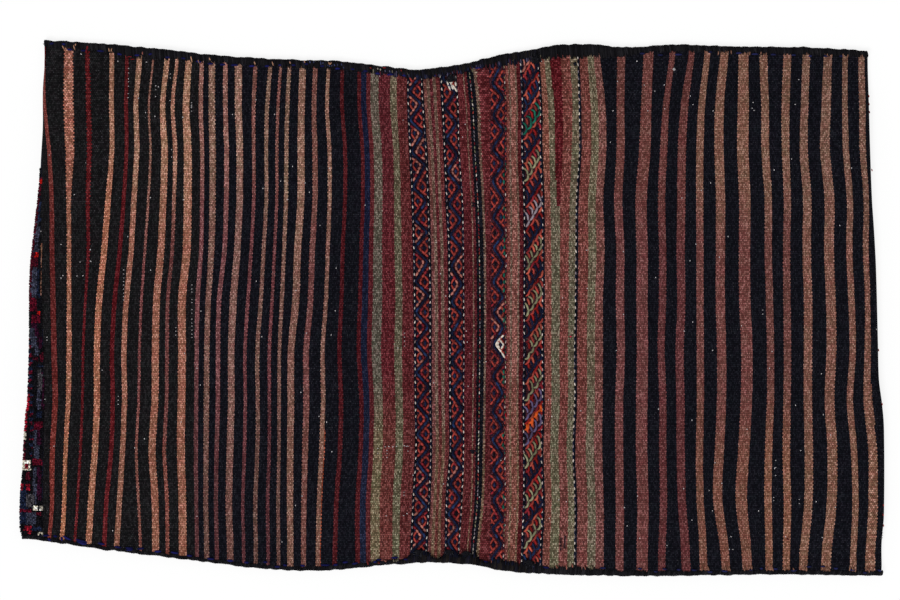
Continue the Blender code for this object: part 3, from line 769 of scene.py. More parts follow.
def bead_group():
    """Beads of weft over the warps, in which each rib is shifted by half a bead."""
    tree = bpy.data.node_groups.new("weft_beads", "ShaderNodeTree")
    sockets = tree.interface
    sockets.new_socket("Place", in_out="INPUT", socket_type="NodeSocketVector")
    for name in ("Warp Pitch", "Bead Length", "Wobble"):
        sockets.new_socket(name, in_out="INPUT", socket_type="NodeSocketFloat")
    for name in ("Height", "Tone", "Hue", "Speck", "Pick Tone", "Along", "Across"):
        sockets.new_socket(name, in_out="OUTPUT", socket_type="NodeSocketFloat")
    given = node(tree, "NodeGroupInput").outputs
    parts = node(tree, "ShaderNodeSeparateXYZ")
    feed(tree, given["Place"], parts.inputs["Vector"])
    shaken = []
    for axis, stretch in (("X", WOBBLES_ALONG), ("Y", WOBBLES_ACROSS)):
        shake = noise_over(tree, given["Place"], WOBBLES, 1.0, stretch) - 0.5
        shaken.append(shake * given["Wobble"] + parts.outputs[axis])
    ribs = shaken[1] / given["Warp Pitch"]
    rib = ribs.by("FLOOR")
    shift = (rib * 0.5).by("FRACT")
    beads = shaken[0] / given["Bead Length"] + shift
    bead = beads.by("FLOOR")
    rounds = [(place.by("FRACT") * math.pi).by("SINE") for place in (ribs, beads)]
    cell = node(tree, "ShaderNodeCombineXYZ")
    feed(tree, bead, cell.inputs["X"])
    feed(tree, rib, cell.inputs["Y"])
    tone = node(tree, "ShaderNodeTexWhiteNoise", noise_dimensions="2D")
    feed(tree, cell.outputs["Vector"], tone.inputs["Vector"])
    own = node(tree, "ShaderNodeSeparateColor")
    feed(tree, tone.outputs["Color"], own.inputs["Color"])
    centre = bead + 0.5 - shift
    pick = node(tree, "ShaderNodeTexWhiteNoise", noise_dimensions="1D")
    feed(tree, centre, pick.inputs["W"])
    made = node(tree, "NodeGroupOutput").inputs
    for name, source in (
            ("Height", (rounds[0] * rounds[1]) ** BEAD_DOME), ("Tone", tone.outputs["Value"]),
            ("Hue", own.outputs["Green"]), ("Speck", own.outputs["Blue"]),
            ("Pick Tone", pick.outputs["Value"]),
            ("Along", (centre + (beads - shift)) * 0.5 * given["Bead Length"]),
            ("Across", (rib + 0.5) * given["Warp Pitch"])):
        feed(tree, source, made[name])
    return tree


def beads_over(tree, beads, place, warp_pitch, bead_length):
    """The bead pattern at a place: each of its outputs by name."""
    group = node(tree, "ShaderNodeGroup", node_tree=beads)
    for name, source in (("Place", place), ("Warp Pitch", warp_pitch),
                         ("Bead Length", bead_length), ("Wobble", BEAD_WOBBLE)):
        feed(tree, source, group.inputs[name])
    return {output.name: Value(tree, output) for output in group.outputs}


def constant_ramp(tree, value, looks):
    """The look at a value, where each look holds from its own share of the way on."""
    made = node(tree, "ShaderNodeValToRGB")
    made.color_ramp.interpolation = "CONSTANT"
    stops = made.color_ramp.elements
    stops.remove(stops[1])
    for number, (start, look) in enumerate(looks):
        stop = stops[0] if number == 0 else stops.new(start)
        stop.position = start
        stop.color = linear(look)
    feed(tree, value, made.inputs["Fac"])
    return made.outputs["Color"]


def striped(tree, along, shade):
    """The draft's colour at a place along the cloth, in one of the dyes' three shades."""
    colour, end, was_dark = None, 0.0, False
    stripes = LEFT_DRAFT + BRIDGE_DRAFT + RIGHT_DRAFT
    while stripes:
        some, stripes = stripes[:RAMP_STOPS], stripes[RAMP_STOPS:]
        length = sum(width for _, width in some) / 1000
        looks, travelled = [], 0.0
        for number, (dye, width) in enumerate(some):
            dark = dye in DARK_DYES
            creep = (was_dark - dark) * DARK_CREEP if number else 0.0
            looks.append(((travelled + creep) / 1000 / length, DYES[dye][shade]))
            travelled += width
            was_dark = dark
        part = constant_ramp(tree, (along - end) / length, looks)
        if colour is None:
            colour = part
        else:
            colour = blend(tree, along.by("GREATER_THAN", end), colour, part)
        end += length
    return colour


def finish_wool(tree, colour, height, bumps):
    """Connects a wool's colour and its bumps to a matte shader."""
    shader = matte(tree, colour, WOOL_ROUGHNESS, WOOL_GLOSS)
    bump = node(tree, "ShaderNodeBump")
    bump.inputs["Strength"].default_value, bump.inputs["Distance"].default_value = bumps
    feed(tree, height, bump.inputs["Height"])
    feed(tree, bump.outputs["Normal"], shader.inputs["Normal"])


def dyed(tree, place, along, across):
    """The stripes' dyes and the yarns laid in, each as its side of the bag shows it."""
    change = noise_over(tree, place, SHADE_CHANGES, 1.0, LONG_STREAKS) - 0.5
    shaded = change * SHADE_SHIFT + across
    far, middle, near = (striped(tree, along, shade) for shade in range(3))
    colour = blend(tree, ramp_up(tree, shaded, row_y(MIDDLE_FROM), row_y(FAR_ROW)), middle, far)
    colour = blend(tree, ramp_up(tree, shaded, row_y(MIDDLE_TO), row_y(NEAR_ROW)), colour, near)
    for left, right, top, bottom, look in LAID_IN:
        inside = (within(along, draft_place(left), draft_place(right))
                  * within(across, row_y(bottom), row_y(top)))
        colour = blend(tree, inside, colour, linear(look))
    return colour


def bead_tone_and_painted_shade(tree, place, along, beaded):
    """How light each bead is: it differs from the next, and so does each pick and patch, with
    painted shade in the gaps between beads and a painted highlight on their crests.
    """
    on_bridge = within(along, *(draft_place(column) for column in BRIDGE_COLUMNS))
    contrast = on_bridge * BRIDGE_CONTRAST + BEAD_CONTRAST
    shade = (beaded["Tone"] ** 2.0 - MEAN_BRIGHT) * contrast + BEAD_LIGHT
    shade = shade * (on_bridge * BRIDGE_LIGHT + 1.0)
    # By the beads' height, painted shade lies in the gaps between beads and a painted highlight on
    # their crests.
    for source, reach in (
            (beaded["Pick Tone"], PICK_REACH), (noise_over(tree, place, FADES, 3.0), FADE_REACH),
            (noise_over(tree, place, STREAKS, 1.0, LONG_STREAKS), STREAK_REACH),
            (noise_over(tree, place, FIBRES, 1.0), FIBRE_REACH), (beaded["Height"], PAINTED_ROUND_SHADE_REACH)):
        shade = shade * (source * reach + (1 - reach / 2))
    return shade


def tinted(tree, place, beaded, colour):
    """A bead is warmer or cooler than the next, and light ones are the more washed out."""
    warmth = (beaded["Hue"] * OWN_WARMTH
              + (noise_over(tree, place, CLOUDS) * CLOUD_WARMTH + LEAST_WARMTH))
    colour = blend(tree, 1.0, colour, blend(tree, warmth, COOL_WOOL, WARM_WOOL), "MULTIPLY")
    bright = node(tree, "ShaderNodeRGBToBW")
    feed(tree, colour, bright.inputs["Color"])
    washed = grey_of(tree, Value(tree, bright.outputs["Val"]) * WASHED_LIGHT)
    return blend(tree, beaded["Tone"] ** 3.0 * WASHED_SHARE, colour, washed)


def kilim_wool(beads):
    """The back's cloth: striped wefts in beads over the warps, a little faded and worn, with
    painted shade between the beads.
    """
    material, tree = new_material("kilim_wool")
    place = node(tree, "ShaderNodeUVMap", uv_map="draft").outputs["UV"]
    beaded = beads_over(tree, beads, place, WARP_PITCH, BEAD_LENGTH)
    drift = noise_over(tree, place, DRIFTS, 2.0, DRIFT_STRETCH) - 0.5
    along = drift * STRIPE_WOBBLE + beaded["Along"]
    colour = dyed(tree, place, along, beaded["Across"] - UV_RISE)
    colour = darkened(tree, colour, bead_tone_and_painted_shade(tree, place, along, beaded))
    colour = tinted(tree, place, beaded, colour)
    tops = ramp_up(tree, beaded["Height"], *SPECK_TOP)
    for share, look, cover, patches, way in SPECKS:
        rare = noise_over(tree, place, patches) * (-SPECK_CROWDING * share) + (1 + share)
        speck = beaded["Speck"].by("GREATER_THAN", rare) * tops * cover
        colour = blend(tree, speck, colour, linear(look), way)
    finish_wool(tree, colour, beaded["Height"], BEAD_BUMPS)
    return material


def pile_chart(beads):
    """The fronts' knotted pile: a border with guards round a lattice of diamonds."""
    material, tree = new_material("pile_wool")
    place = node(tree, "ShaderNodeUVMap", uv_map="draft").outputs["UV"]
    knotted = beads_over(tree, beads, place, KNOT_PITCH, KNOT_PITCH)
    past = (knotted["Along"] * -1.0).by("MAXIMUM", knotted["Along"] - BACK_LENGTH)
    across = (knotted["Across"] - UV_RISE).by("ABSOLUTE")
    inset = past.by("MINIMUM", FRONT_LENGTH - past).by("MINIMUM", HALF_WIDTH - across)
    waves = [((value / MOTIF).by("FRACT") - 0.5).by("ABSOLUTE") for value in (past, across)]
    rings = waves[0] + waves[1]
    field = constant_ramp(tree, rings, PILE_FIELD)
    border = constant_ramp(tree, (rings * 2.0).by("FRACT"), PILE_BORDER)
    guards = constant_ramp(tree, inset / BORDER_WIDTH, PILE_GUARDS)
    in_border = within(inset, GUARD_WIDTH, BORDER_WIDTH - GUARD_WIDTH)
    colour = blend(tree, in_border, guards, border)
    colour = blend(tree, inset.by("GREATER_THAN", BORDER_WIDTH), colour, field)
    shade = (knotted["Tone"] * KNOT_REACH + KNOT_LEAST) * (
        knotted["Height"] * KNOT_ROUND + KNOT_HOLLOW)
    finish_wool(tree, darkened(tree, colour, shade), knotted["Height"], KNOT_BUMPS)
    return material


bead_pattern = bead_group()
inside_wool, inside_tree = new_material("inside_wool")
feed(inside_tree, linear(INSIDE_LOOK),
     inside_tree.nodes["Principled BSDF"].inputs["Base Color"])

strip = woven_strip((kilim_wool(bead_pattern), pile_chart(bead_pattern), inside_wool))
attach(strip, "root")
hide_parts("woven_strip")

# Yarns: every stitch, float, wrap, tuft and hair is a yarn along a few points, each with its
# own thickness and dye. They are drawn in Python and given their round shape by nodes.
YARN_SIDES = 6
YARN_FIBRES, YARN_CLOUDS = 900.0, 260.0
YARN_REACH, YARN_LEAST = 0.7, 0.65
YARN_BUMPS = (0.6, 0.0004)
yarn_luck = random.Random(7)


def yarn_group():
    """Turns edges into yarns as thick as each point says, thinner towards their ends."""
    tree = bpy.data.node_groups.new("yarns_along_edges", "GeometryNodeTree")
    sockets = tree.interface
    for name, kind in (("Geometry", "Geometry"), ("Sides", "Int"), ("Step", "Float"),
                       ("Taper", "Float"), ("Wool", "Material")):
        sockets.new_socket(name, in_out="INPUT", socket_type="NodeSocket" + kind)
    sockets.new_socket("Geometry", in_out="OUTPUT", socket_type="NodeSocketGeometry")
    given = node(tree, "NodeGroupInput").outputs
    even = node(tree, "GeometryNodeResampleCurve", mode="LENGTH")
    feed(tree, given["Step"], even.inputs["Length"])
    along = Value(tree, node(tree, "GeometryNodeSplineParameter").outputs["Factor"])
    thick = node(tree, "GeometryNodeInputNamedAttribute", data_type="FLOAT")
    thick.inputs["Name"].default_value = "thickness"
    off_middle = (along * 2.0 - 1.0).by("ABSOLUTE")
    narrowed = 1.0 - off_middle ** 4.0 * given["Taper"]
    ring = node(tree, "GeometryNodeCurvePrimitiveCircle")
    ring.inputs["Radius"].default_value = 1.0
    feed(tree, given["Sides"], ring.inputs["Resolution"])
    body = node(tree, "GeometryNodeCurveToMesh")
    body.inputs["Fill Caps"].default_value = True
    feed(tree, Value(tree, thick.outputs["Attribute"]) * narrowed, body.inputs["Scale"])
    feed(tree, ring.outputs["Curve"], body.inputs["Profile Curve"])
    dressed = node(tree, "GeometryNodeSetMaterial")
    feed(tree, given["Wool"], dressed.inputs["Material"])
    flow = given["Geometry"]
    smoothed = node(tree, "GeometryNodeCurveSplineType", spline_type="CATMULL_ROM")
    for step, into, out in (
            (node(tree, "GeometryNodeMeshToCurve"), "Mesh", "Curve"),
            (smoothed, "Curve", "Curve"),
            (even, "Curve", "Curve"), (body, "Curve", "Mesh"),
            (node(tree, "GeometryNodeSetShadeSmooth"), "Geometry", "Geometry"),
            (node(tree, "GeometryNodeRealizeInstances"), "Geometry", "Geometry"),
            (dressed, "Geometry", "Geometry"),
            (node(tree, "NodeGroupOutput"), "Geometry", None)):
        feed(tree, flow, step.inputs[into])
        flow = step.outputs[out] if out else None
    return tree


def yarn_wool():
    """Dyed wool yarn: its points' dye, twisted and slightly uneven."""
    material, tree = new_material("yarn_wool")
    dye = node(tree, "ShaderNodeAttribute", attribute_name="dye").outputs["Color"]
    place = node(tree, "ShaderNodeTexCoord").outputs["Object"]
    fibres = noise_over(tree, place, YARN_FIBRES)
    clouds = noise_over(tree, place, YARN_CLOUDS, 1.0)
    shade = (fibres * YARN_REACH + YARN_LEAST) * (clouds * YARN_REACH + YARN_LEAST)
    finish_wool(tree, darkened(tree, dye, shade), fibres, YARN_BUMPS)
    return material


yarn_nodes, yarn_material = yarn_group(), yarn_wool()


def yarns(name, strands, step=0.0012, taper=0.5, sides=YARN_SIDES):
    """One object of many strands, each (points, radius, look)."""
    points, edges, radii, looks = [], [], [], []
    for line, radius, look in strands:
        colour = linear(look)
        for number, point in enumerate(line):
            if number:
                edges.append((len(points) - 1, len(points)))
            points.append(point)
            radii.append(radius)
            looks.extend(colour)
    mesh = bpy.data.meshes.new(name)
    mesh.from_pydata(points, edges, [])
    mesh.attributes.new("thickness", "FLOAT", "POINT").data.foreach_set("value", radii)
    mesh.attributes.new("dye", "FLOAT_COLOR", "POINT").data.foreach_set("color", looks)
    thing = add_object(name, mesh)
    spin = thing.modifiers.new("spin", "NODES")
    spin.node_group = yarn_nodes
    wanted = {"Sides": sides, "Step": step, "Taper": taper, "Wool": yarn_material}
    for item in yarn_nodes.interface.items_tree:
        if item.in_out == "INPUT" and item.name in wanted:
            spin[item.identifier] = wanted[item.name]
    return plain_mesh(thing)


def off(reach):
    return yarn_luck.uniform(-reach, reach)


def varied(look, reach=0.18):
    """A dye as one yarn happens to look."""
    share = 1 + off(reach)
    return tuple(min(level * share, 255) for level in look)


def on_cloth(column, row, lift=0.0):
    """Where the weft that crosses the middle row at this pixel crosses another row."""
    y = row_y(row)
    x = weft_x(draft_place(column), y)
    return Vector((x, y, back_height(x, y) + lift))


def at_photo(column, row, lift=0.0):
    x, y = from_photo(column, row)
    return Vector((x, y, back_height(x, y) + lift))


def curve_through(start, middle, end, lift, sink=0.0004, place=on_cloth):
    """Three points of a float that comes up out of the cloth and goes back into it."""
    return [place(*start, -sink), place(*middle, lift), place(*end, -sink)]


def stitch(ends, radius, look, lift, place=on_cloth, reach=0.18):
    """A strand for one float or stitch, whose look varies by chance."""
    return curve_through(*ends, lift, place=place), radius, varied(look, reach)


# The bridge's brocaded bands. Three hold a zigzag of navy yarn with diamonds in its pockets,
# one holds slanting combs, and between them run thin lines of white and dark dashes.
NAVY_YARN, BLUE_YARN = (21, 27, 49), (30, 44, 76)
BRICK_YARN, CRIMSON_YARN, SALMON_YARN = (142, 56, 50), (118, 34, 42), (160, 100, 90)
IVORY_YARN, GREY_YARN, SAGE_YARN = (200, 188, 180), (124, 114, 122), (122, 120, 94)
TEAL_YARN, ORANGE_YARN, BLACK_YARN = (27, 88, 73), (190, 78, 34), (16, 18, 24)
RUST_YARN, RED_YARN = (162, 76, 62), (124, 28, 28)
LAVENDER_YARN = (88, 78, 108)
# For each band: its left and right border, where its zigzag turns on the left and on the
# right, and the rows of those turns.
ZIGZAGS = {
    "first": ((416.0, 429.0), (416.4, 427.6),
              (61, 91, 120, 152, 187, 219, 248, 282, 312, 343, 372, 404, 434, 462, 492, 521, 552,
               582),
              (76, 104, 133, 165, 201, 232, 262, 295, 327, 358, 387, 419, 448, 477, 507, 537, 565)),
    "second": ((451.0, 462.6), (452.0, 461.3),
               (48, 78, 108, 139, 171, 204, 235, 266, 302, 334, 361, 391, 424, 453, 484, 514, 542,
                571),
               (62, 92, 123, 155, 187, 220, 249, 284, 315, 346, 376, 409, 438, 468, 498, 528, 556,
                586)),
    "third": ((491.0, 504.4), (493.6, 502.6),
              (51, 83, 115, 149, 181, 217, 248, 282, 312, 345, 376, 411, 440, 470, 500, 529, 559,
               589),
              (33, 64, 97, 131, 163, 200, 233, 264, 297, 327, 360, 393, 427, 455, 485, 518, 545,
               574)),
}
FLOAT_LENGTH = 4.4
FLOAT_GAP = 0.5
TEAL_ROWS = (175, 182, 208, 217, 240, 247, 253, 275, 282, 290, 310, 320, 372, 377, 382, 435,
             445, 497, 507)
TEAL_LINE, TEAL_HALF = (503.6, 503.8), 2.1
TEAL_RADIUS, TEAL_LIFT = 0.0013, 0.0014
# Each line of dashes: its column, first and last row, width in pixels, the length of its dark
# dashes and its light yarns.
BARBER = (IVORY_YARN, IVORY_YARN, IVORY_YARN, (158, 138, 134), GREY_YARN)
DASHES = (
    (414.6, 66, 566, 1.15, 3.6, BARBER), (430.1, 66, 566, 1.0, 3.6, BARBER),
    (449.6, 70, 566, 1.05, 3.6, BARBER), (463.7, 66, 566, 1.05, 3.6, BARBER),
    (480, 64, 566, 1.0, 0.6, (IVORY_YARN, GREY_YARN, SAGE_YARN, CRIMSON_YARN, BRICK_YARN)),
    (505.6, 60, 570, 0.9, 1.8, (TEAL_YARN, SAGE_YARN, BRICK_YARN, BRICK_YARN, IVORY_YARN)),
    (524.1, 56, 572, 1.1, 3.6, BARBER), (542.3, 50, 572, 1.15, 3.6, BARBER),
    (575.2, 48, 574, 1.15, 3.6, BARBER),
)
LIGHT_DASH = 3.0
LIGHT_GAP, DARK_GAP = 0.2, 0.1
LIGHT_DASH_LIFT, DARK_DASH_LIFT = 0.0008, 0.0006
DASH_LEAN, DASH_UNEVEN, DASH_VARIES = 0.5, 0.18, 0.14
# The share of dark dashes that are navy, and how wide dark ones are to each side.
DASHES_NAVY, DARK_HALF = 0.4, 0.6
# The zigzag's floats, and where its turns begin and end.
ZIGZAG_STEP, ZIGZAG_OVERLAP = 4.6, 0.8
ZIGZAG_TURNS = (0.08, 0.92)
ZIGZAG_BLUE, ZIGZAG_VARIES, ZIGZAG_SHAKE = 0.35, 0.22, 0.25
ZIGZAG_RADIUS, ZIGZAG_LIFT, ZIGZAG_SINK = 0.00145, 0.0015, -0.0006
# The shape of a pocket's diamond, in pixels or as shares of the pocket's depth or height, the
# shares of its looks, and the radius and lift of each kind of float.
CENTRE_DEPTH = 0.32
RIM_FROM_ZIGZAG = 3.3
RIM_BEND = (0.6, 0.52)
TIP_HALF = 1.2
CORNER_IN, CORNER_OUT, CORNER_HALF, CORNER_BEND = 1.1, 7.0, 1.3, 0.3
CLOSERS = ((0.4, 6.2), (1.9, 3.4), (0.5, 0.5))
CENTRE_HALF = 2.0
MANY_SALMON, FEW_SALMON, RIM_SHARE = 0.8, 0.12, 0.8
RIM_RADIUS, RIM_UNEVEN, RIM_LIFT = 0.00140, 0.0001, 0.0012
CORNER_FLOAT, CLOSER_FLOAT, CENTRE_FLOAT = (0.0011, 0.0011), (0.00115, 0.0010), (0.0013, 0.0012)
CENTRE_LOOKS = (BLACK_YARN, NAVY_YARN, NAVY_YARN, BLUE_YARN)
# Each comb's top row at its right end, and its yarn.
COMBS = (
    (40, SALMON_YARN), (60, NAVY_YARN), (80, BLUE_YARN), (104, TEAL_YARN), (128, NAVY_YARN),
    (150, SAGE_YARN), (172, NAVY_YARN), (195, GREY_YARN), (217, NAVY_YARN), (238, SAGE_YARN),
    (260, NAVY_YARN), (285, SAGE_YARN), (306, NAVY_YARN), (328, SAGE_YARN), (348, NAVY_YARN),
    (369, SAGE_YARN), (388, LAVENDER_YARN), (398, ORANGE_YARN), (413, LAVENDER_YARN),
    (436, SAGE_YARN), (455, NAVY_YARN), (476, SAGE_YARN), (495, NAVY_YARN), (517, SAGE_YARN),
    (537, BLUE_YARN), (557, RUST_YARN),
)
COMB_REDS = (CRIMSON_YARN, BRICK_YARN, RED_YARN, RUST_YARN)
COMB_TEETH = 4
COMB_RIGHT = 541.2
COMB_FIRST = 6.5             # rows from a comb's top to its first tooth
COMB_STEP = (4.2, 6.2)
# A comb's floats from where their tooth meets its spine: each point's pixels to the right and
# down, and how much of the tooth's bend it takes to the right.
TINE = ((-4.2, -7.4, -0.6), (-1.2, -4.4, 0.3), (-0.4, 0.0, 0.0))
HANGING_TINE = ((-0.8, 0.0, 0.0), (-0.6, 4.6, 0.0), (0.4, 8.6, 0.0))
SPINE = ((0.6, -0.4, 0.0), (-0.8, 4.3, 0.5), (-3.2, 6.2, 0.0))
RED_ABOVE = ((-6.1, -4.9, 0.6), (-4.1, -2.1, 0.4), (-3.3, 1.7, 0.0))
RED_BELOW = ((0.9, 4.6, 0.0), (-0.3, 8.9, 0.4), (-2.9, 11.2, 0.0))
TINE_RADIUS, HANGING_RADIUS, SPINE_RADIUS, THICK_SPINE, RED_RADIUS = (
    0.00120, 0.00150, 0.00145, 0.00170, 0.00135)
COMB_LIFT, HANGING_LIFT = 0.001, 0.0018
# By how many pixels a tooth bends, and a point of a float is off to the right and down.
COMB_BEND, COMB_OFF_RIGHT, COMB_OFF_DOWN = 1.2, 0.5, 0.8
BAND_LEFT, BAND_RIGHT = 523.6, 542.6
BAND_END = 0.0036


def polyline_floats(path, length=FLOAT_LENGTH, gap=FLOAT_GAP):
    """Cuts a path of (column, row) places into floats, each as its start, middle and end."""
    reach = [0.0]
    for a, b in zip(path, path[1:]):
        reach.append(reach[-1] + math.dist(a, b))

    def at(distance):
        k = min(max(bisect.bisect_right(reach, distance) - 1, 0), len(path) - 2)
        f = (distance - reach[k]) / (reach[k + 1] - reach[k])
        return tuple(mix(a, b, f) for a, b in zip(path[k], path[k + 1]))

    count = max(round(reach[-1] / length), 1)
    share = reach[-1] / count
    for number in range(count):
        start = number * share
        end = start + share - gap
        yield at(start), at((start + end) / 2), at(end)


def float_of(kind, ends, look):
    radius, lift = kind
    return stitch(ends, radius, look, lift)


def pocket(band, border, apex, top, middle, bottom):
    """The floats in one pocket of a zigzag: slanting rows round a diamond with a dark centre."""
    way = 1 if apex > border else -1
    depth, height = abs(apex - border), (bottom - top) / 2
    slant = math.hypot(depth, height)
    along, tip = RIM_FROM_ZIGZAG * slant / depth, apex - way * RIM_FROM_ZIGZAG * slant / height
    across, down = RIM_BEND
    path = [(border, top + along), (mix(border, tip, across), mix(top + along, middle, down)),
            (tip, middle - TIP_HALF), (tip, middle + TIP_HALF),
            (mix(border, tip, across), mix(bottom - along, middle, down)),
            (border, bottom - along)]
    salmon_share = MANY_SALMON if band == "first" and way > 0 else FEW_SALMON
    rim = SALMON_YARN if yarn_luck.random() < salmon_share else BRICK_YARN
    made = []
    for ends in polyline_floats(path):
        look = rim if yarn_luck.random() < RIM_SHARE else CRIMSON_YARN
        made.append(stitch(ends, RIM_RADIUS + off(RIM_UNEVEN), look, RIM_LIFT))
    corner = border + way * CORNER_IN
    for side in (-1, 1):
        row = middle + side * CORNER_OUT
        ends = ((corner, row - CORNER_HALF), (corner + way * CORNER_BEND, row),
                (corner, row + CORNER_HALF))
        made.append(float_of(CORNER_FLOAT, ends, NAVY_YARN))
    centre = border + way * depth * CENTRE_DEPTH
    for side in (-1, 1):
        ends = [(start + way * right, middle + side * low)
                for start, (right, low) in zip((centre, border, border), CLOSERS)]
        made.append(float_of(CLOSER_FLOAT, ends, BRICK_YARN))
    look = yarn_luck.choice(CENTRE_LOOKS)
    ends = [(centre, middle + low) for low in (-CENTRE_HALF, 0, CENTRE_HALF)]
    made.append(float_of(CENTRE_FLOAT, ends, look))
    return made


def zigzag_band(band, borders, turns, left_rows, right_rows):
    """One band: pockets on both sides, then the zigzag over them."""
    made = []
    for border, apex, rows, others in ((borders[0], turns[1], left_rows, right_rows),
                                       (borders[1], turns[0], right_rows, left_rows)):
        for top, bottom in zip(rows, rows[1:]):
            between = [row for row in others if top < row < bottom]
            if between:
                made += pocket(band, border, apex, top, between[0], bottom)
    path = sorted([(row, turns[0]) for row in left_rows] + [(row, turns[1]) for row in right_rows])
    rounded = []
    for (row, column), (next_row, next_column) in zip(path, path[1:]):
        for share in (0.0, ZIGZAG_TURNS[0], 0.5, ZIGZAG_TURNS[1]):
            across = ease(share) if share in ZIGZAG_TURNS else share
            rounded.append((mix(column, next_column, across), mix(row, next_row, share)))
    for ends in polyline_floats(rounded, ZIGZAG_STEP, -ZIGZAG_OVERLAP):
        look = varied(BLUE_YARN if yarn_luck.random() < ZIGZAG_BLUE else NAVY_YARN,
                      ZIGZAG_VARIES)
        shake = off(ZIGZAG_SHAKE)
        ends = [(column + shake, row) for column, row in ends]
        made.append((curve_through(*ends, ZIGZAG_LIFT, ZIGZAG_SINK), ZIGZAG_RADIUS, look))
    return made


def dashes(column, top, bottom, width, dark, light):
    """A thin line of white and dark dashes between two stripes."""
    made, row = [], top + yarn_luck.uniform(0, dark)
    while row < bottom:
        lean = off(DASH_LEAN)
        ends = ((column - lean, row), (column, row + LIGHT_DASH / 2),
                (column + lean, row + LIGHT_DASH))
        made.append(stitch(ends, width * PIXEL / 2, yarn_luck.choice(light), LIGHT_DASH_LIFT,
                           reach=DASH_VARIES))
        row += LIGHT_DASH + LIGHT_GAP
        ends = ((column + lean, row), (column, row + dark / 2), (column - lean, row + dark))
        look = NAVY_YARN if yarn_luck.random() < DASHES_NAVY else BLACK_YARN
        made.append(stitch(ends, width * PIXEL * DARK_HALF, look, DARK_DASH_LIFT))
        row += dark * (1 + off(DASH_UNEVEN)) + DARK_GAP
    return made


def comb(top, look):
    """One comb: a spine that falls to the left, teeth above it, and red yarn in between.

    The orange one hangs its teeth below its spine, with no red between them.
    """
    made = []
    hangs = look == ORANGE_YARN
    lift = HANGING_LIFT if hangs else COMB_LIFT
    for tooth in range(-1, COMB_TEETH + 1):
        column = COMB_RIGHT - COMB_STEP[0] * tooth
        row = top + COMB_FIRST + COMB_STEP[1] * tooth
        red, other = yarn_luck.sample(COMB_REDS, 2)
        bend = off(COMB_BEND)
        shapes = ((HANGING_TINE if hangs else TINE, HANGING_RADIUS if hangs else TINE_RADIUS, look),
                  (SPINE, THICK_SPINE if hangs else SPINE_RADIUS, look),
                  (RED_ABOVE, RED_RADIUS, red), (RED_BELOW, RED_RADIUS, other))
        for shape, radius, dye in shapes:
            ends = [(column + right + bent * bend + off(COMB_OFF_RIGHT),
                     row + down + off(COMB_OFF_DOWN))
                    for right, down, bent in shape]
            if hangs and dye != look:
                continue
            if all(BAND_LEFT < place[0] < BAND_RIGHT for place in ends):
                made.append(stitch(ends, radius, dye, lift))
    return made


brocade = []
for band, shape in ZIGZAGS.items():
    brocade += zigzag_band(band, *shape)
for row in TEAL_ROWS:
    ends = ((TEAL_LINE[0], row - TEAL_HALF), (TEAL_LINE[1], row), (TEAL_LINE[0], row + TEAL_HALF))
    brocade.append(stitch(ends, TEAL_RADIUS, TEAL_YARN, TEAL_LIFT))
for line in DASHES:
    brocade += dashes(*line)
for comb_line in COMBS:
    brocade += comb(*comb_line)
brocade = [strand for strand in brocade
           if all(edge_inset(point.x, point.y) > BAND_END for point in strand[0])]
brocade_yarns = yarns("bridge_brocade", brocade)
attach(brocade_yarns, "root")

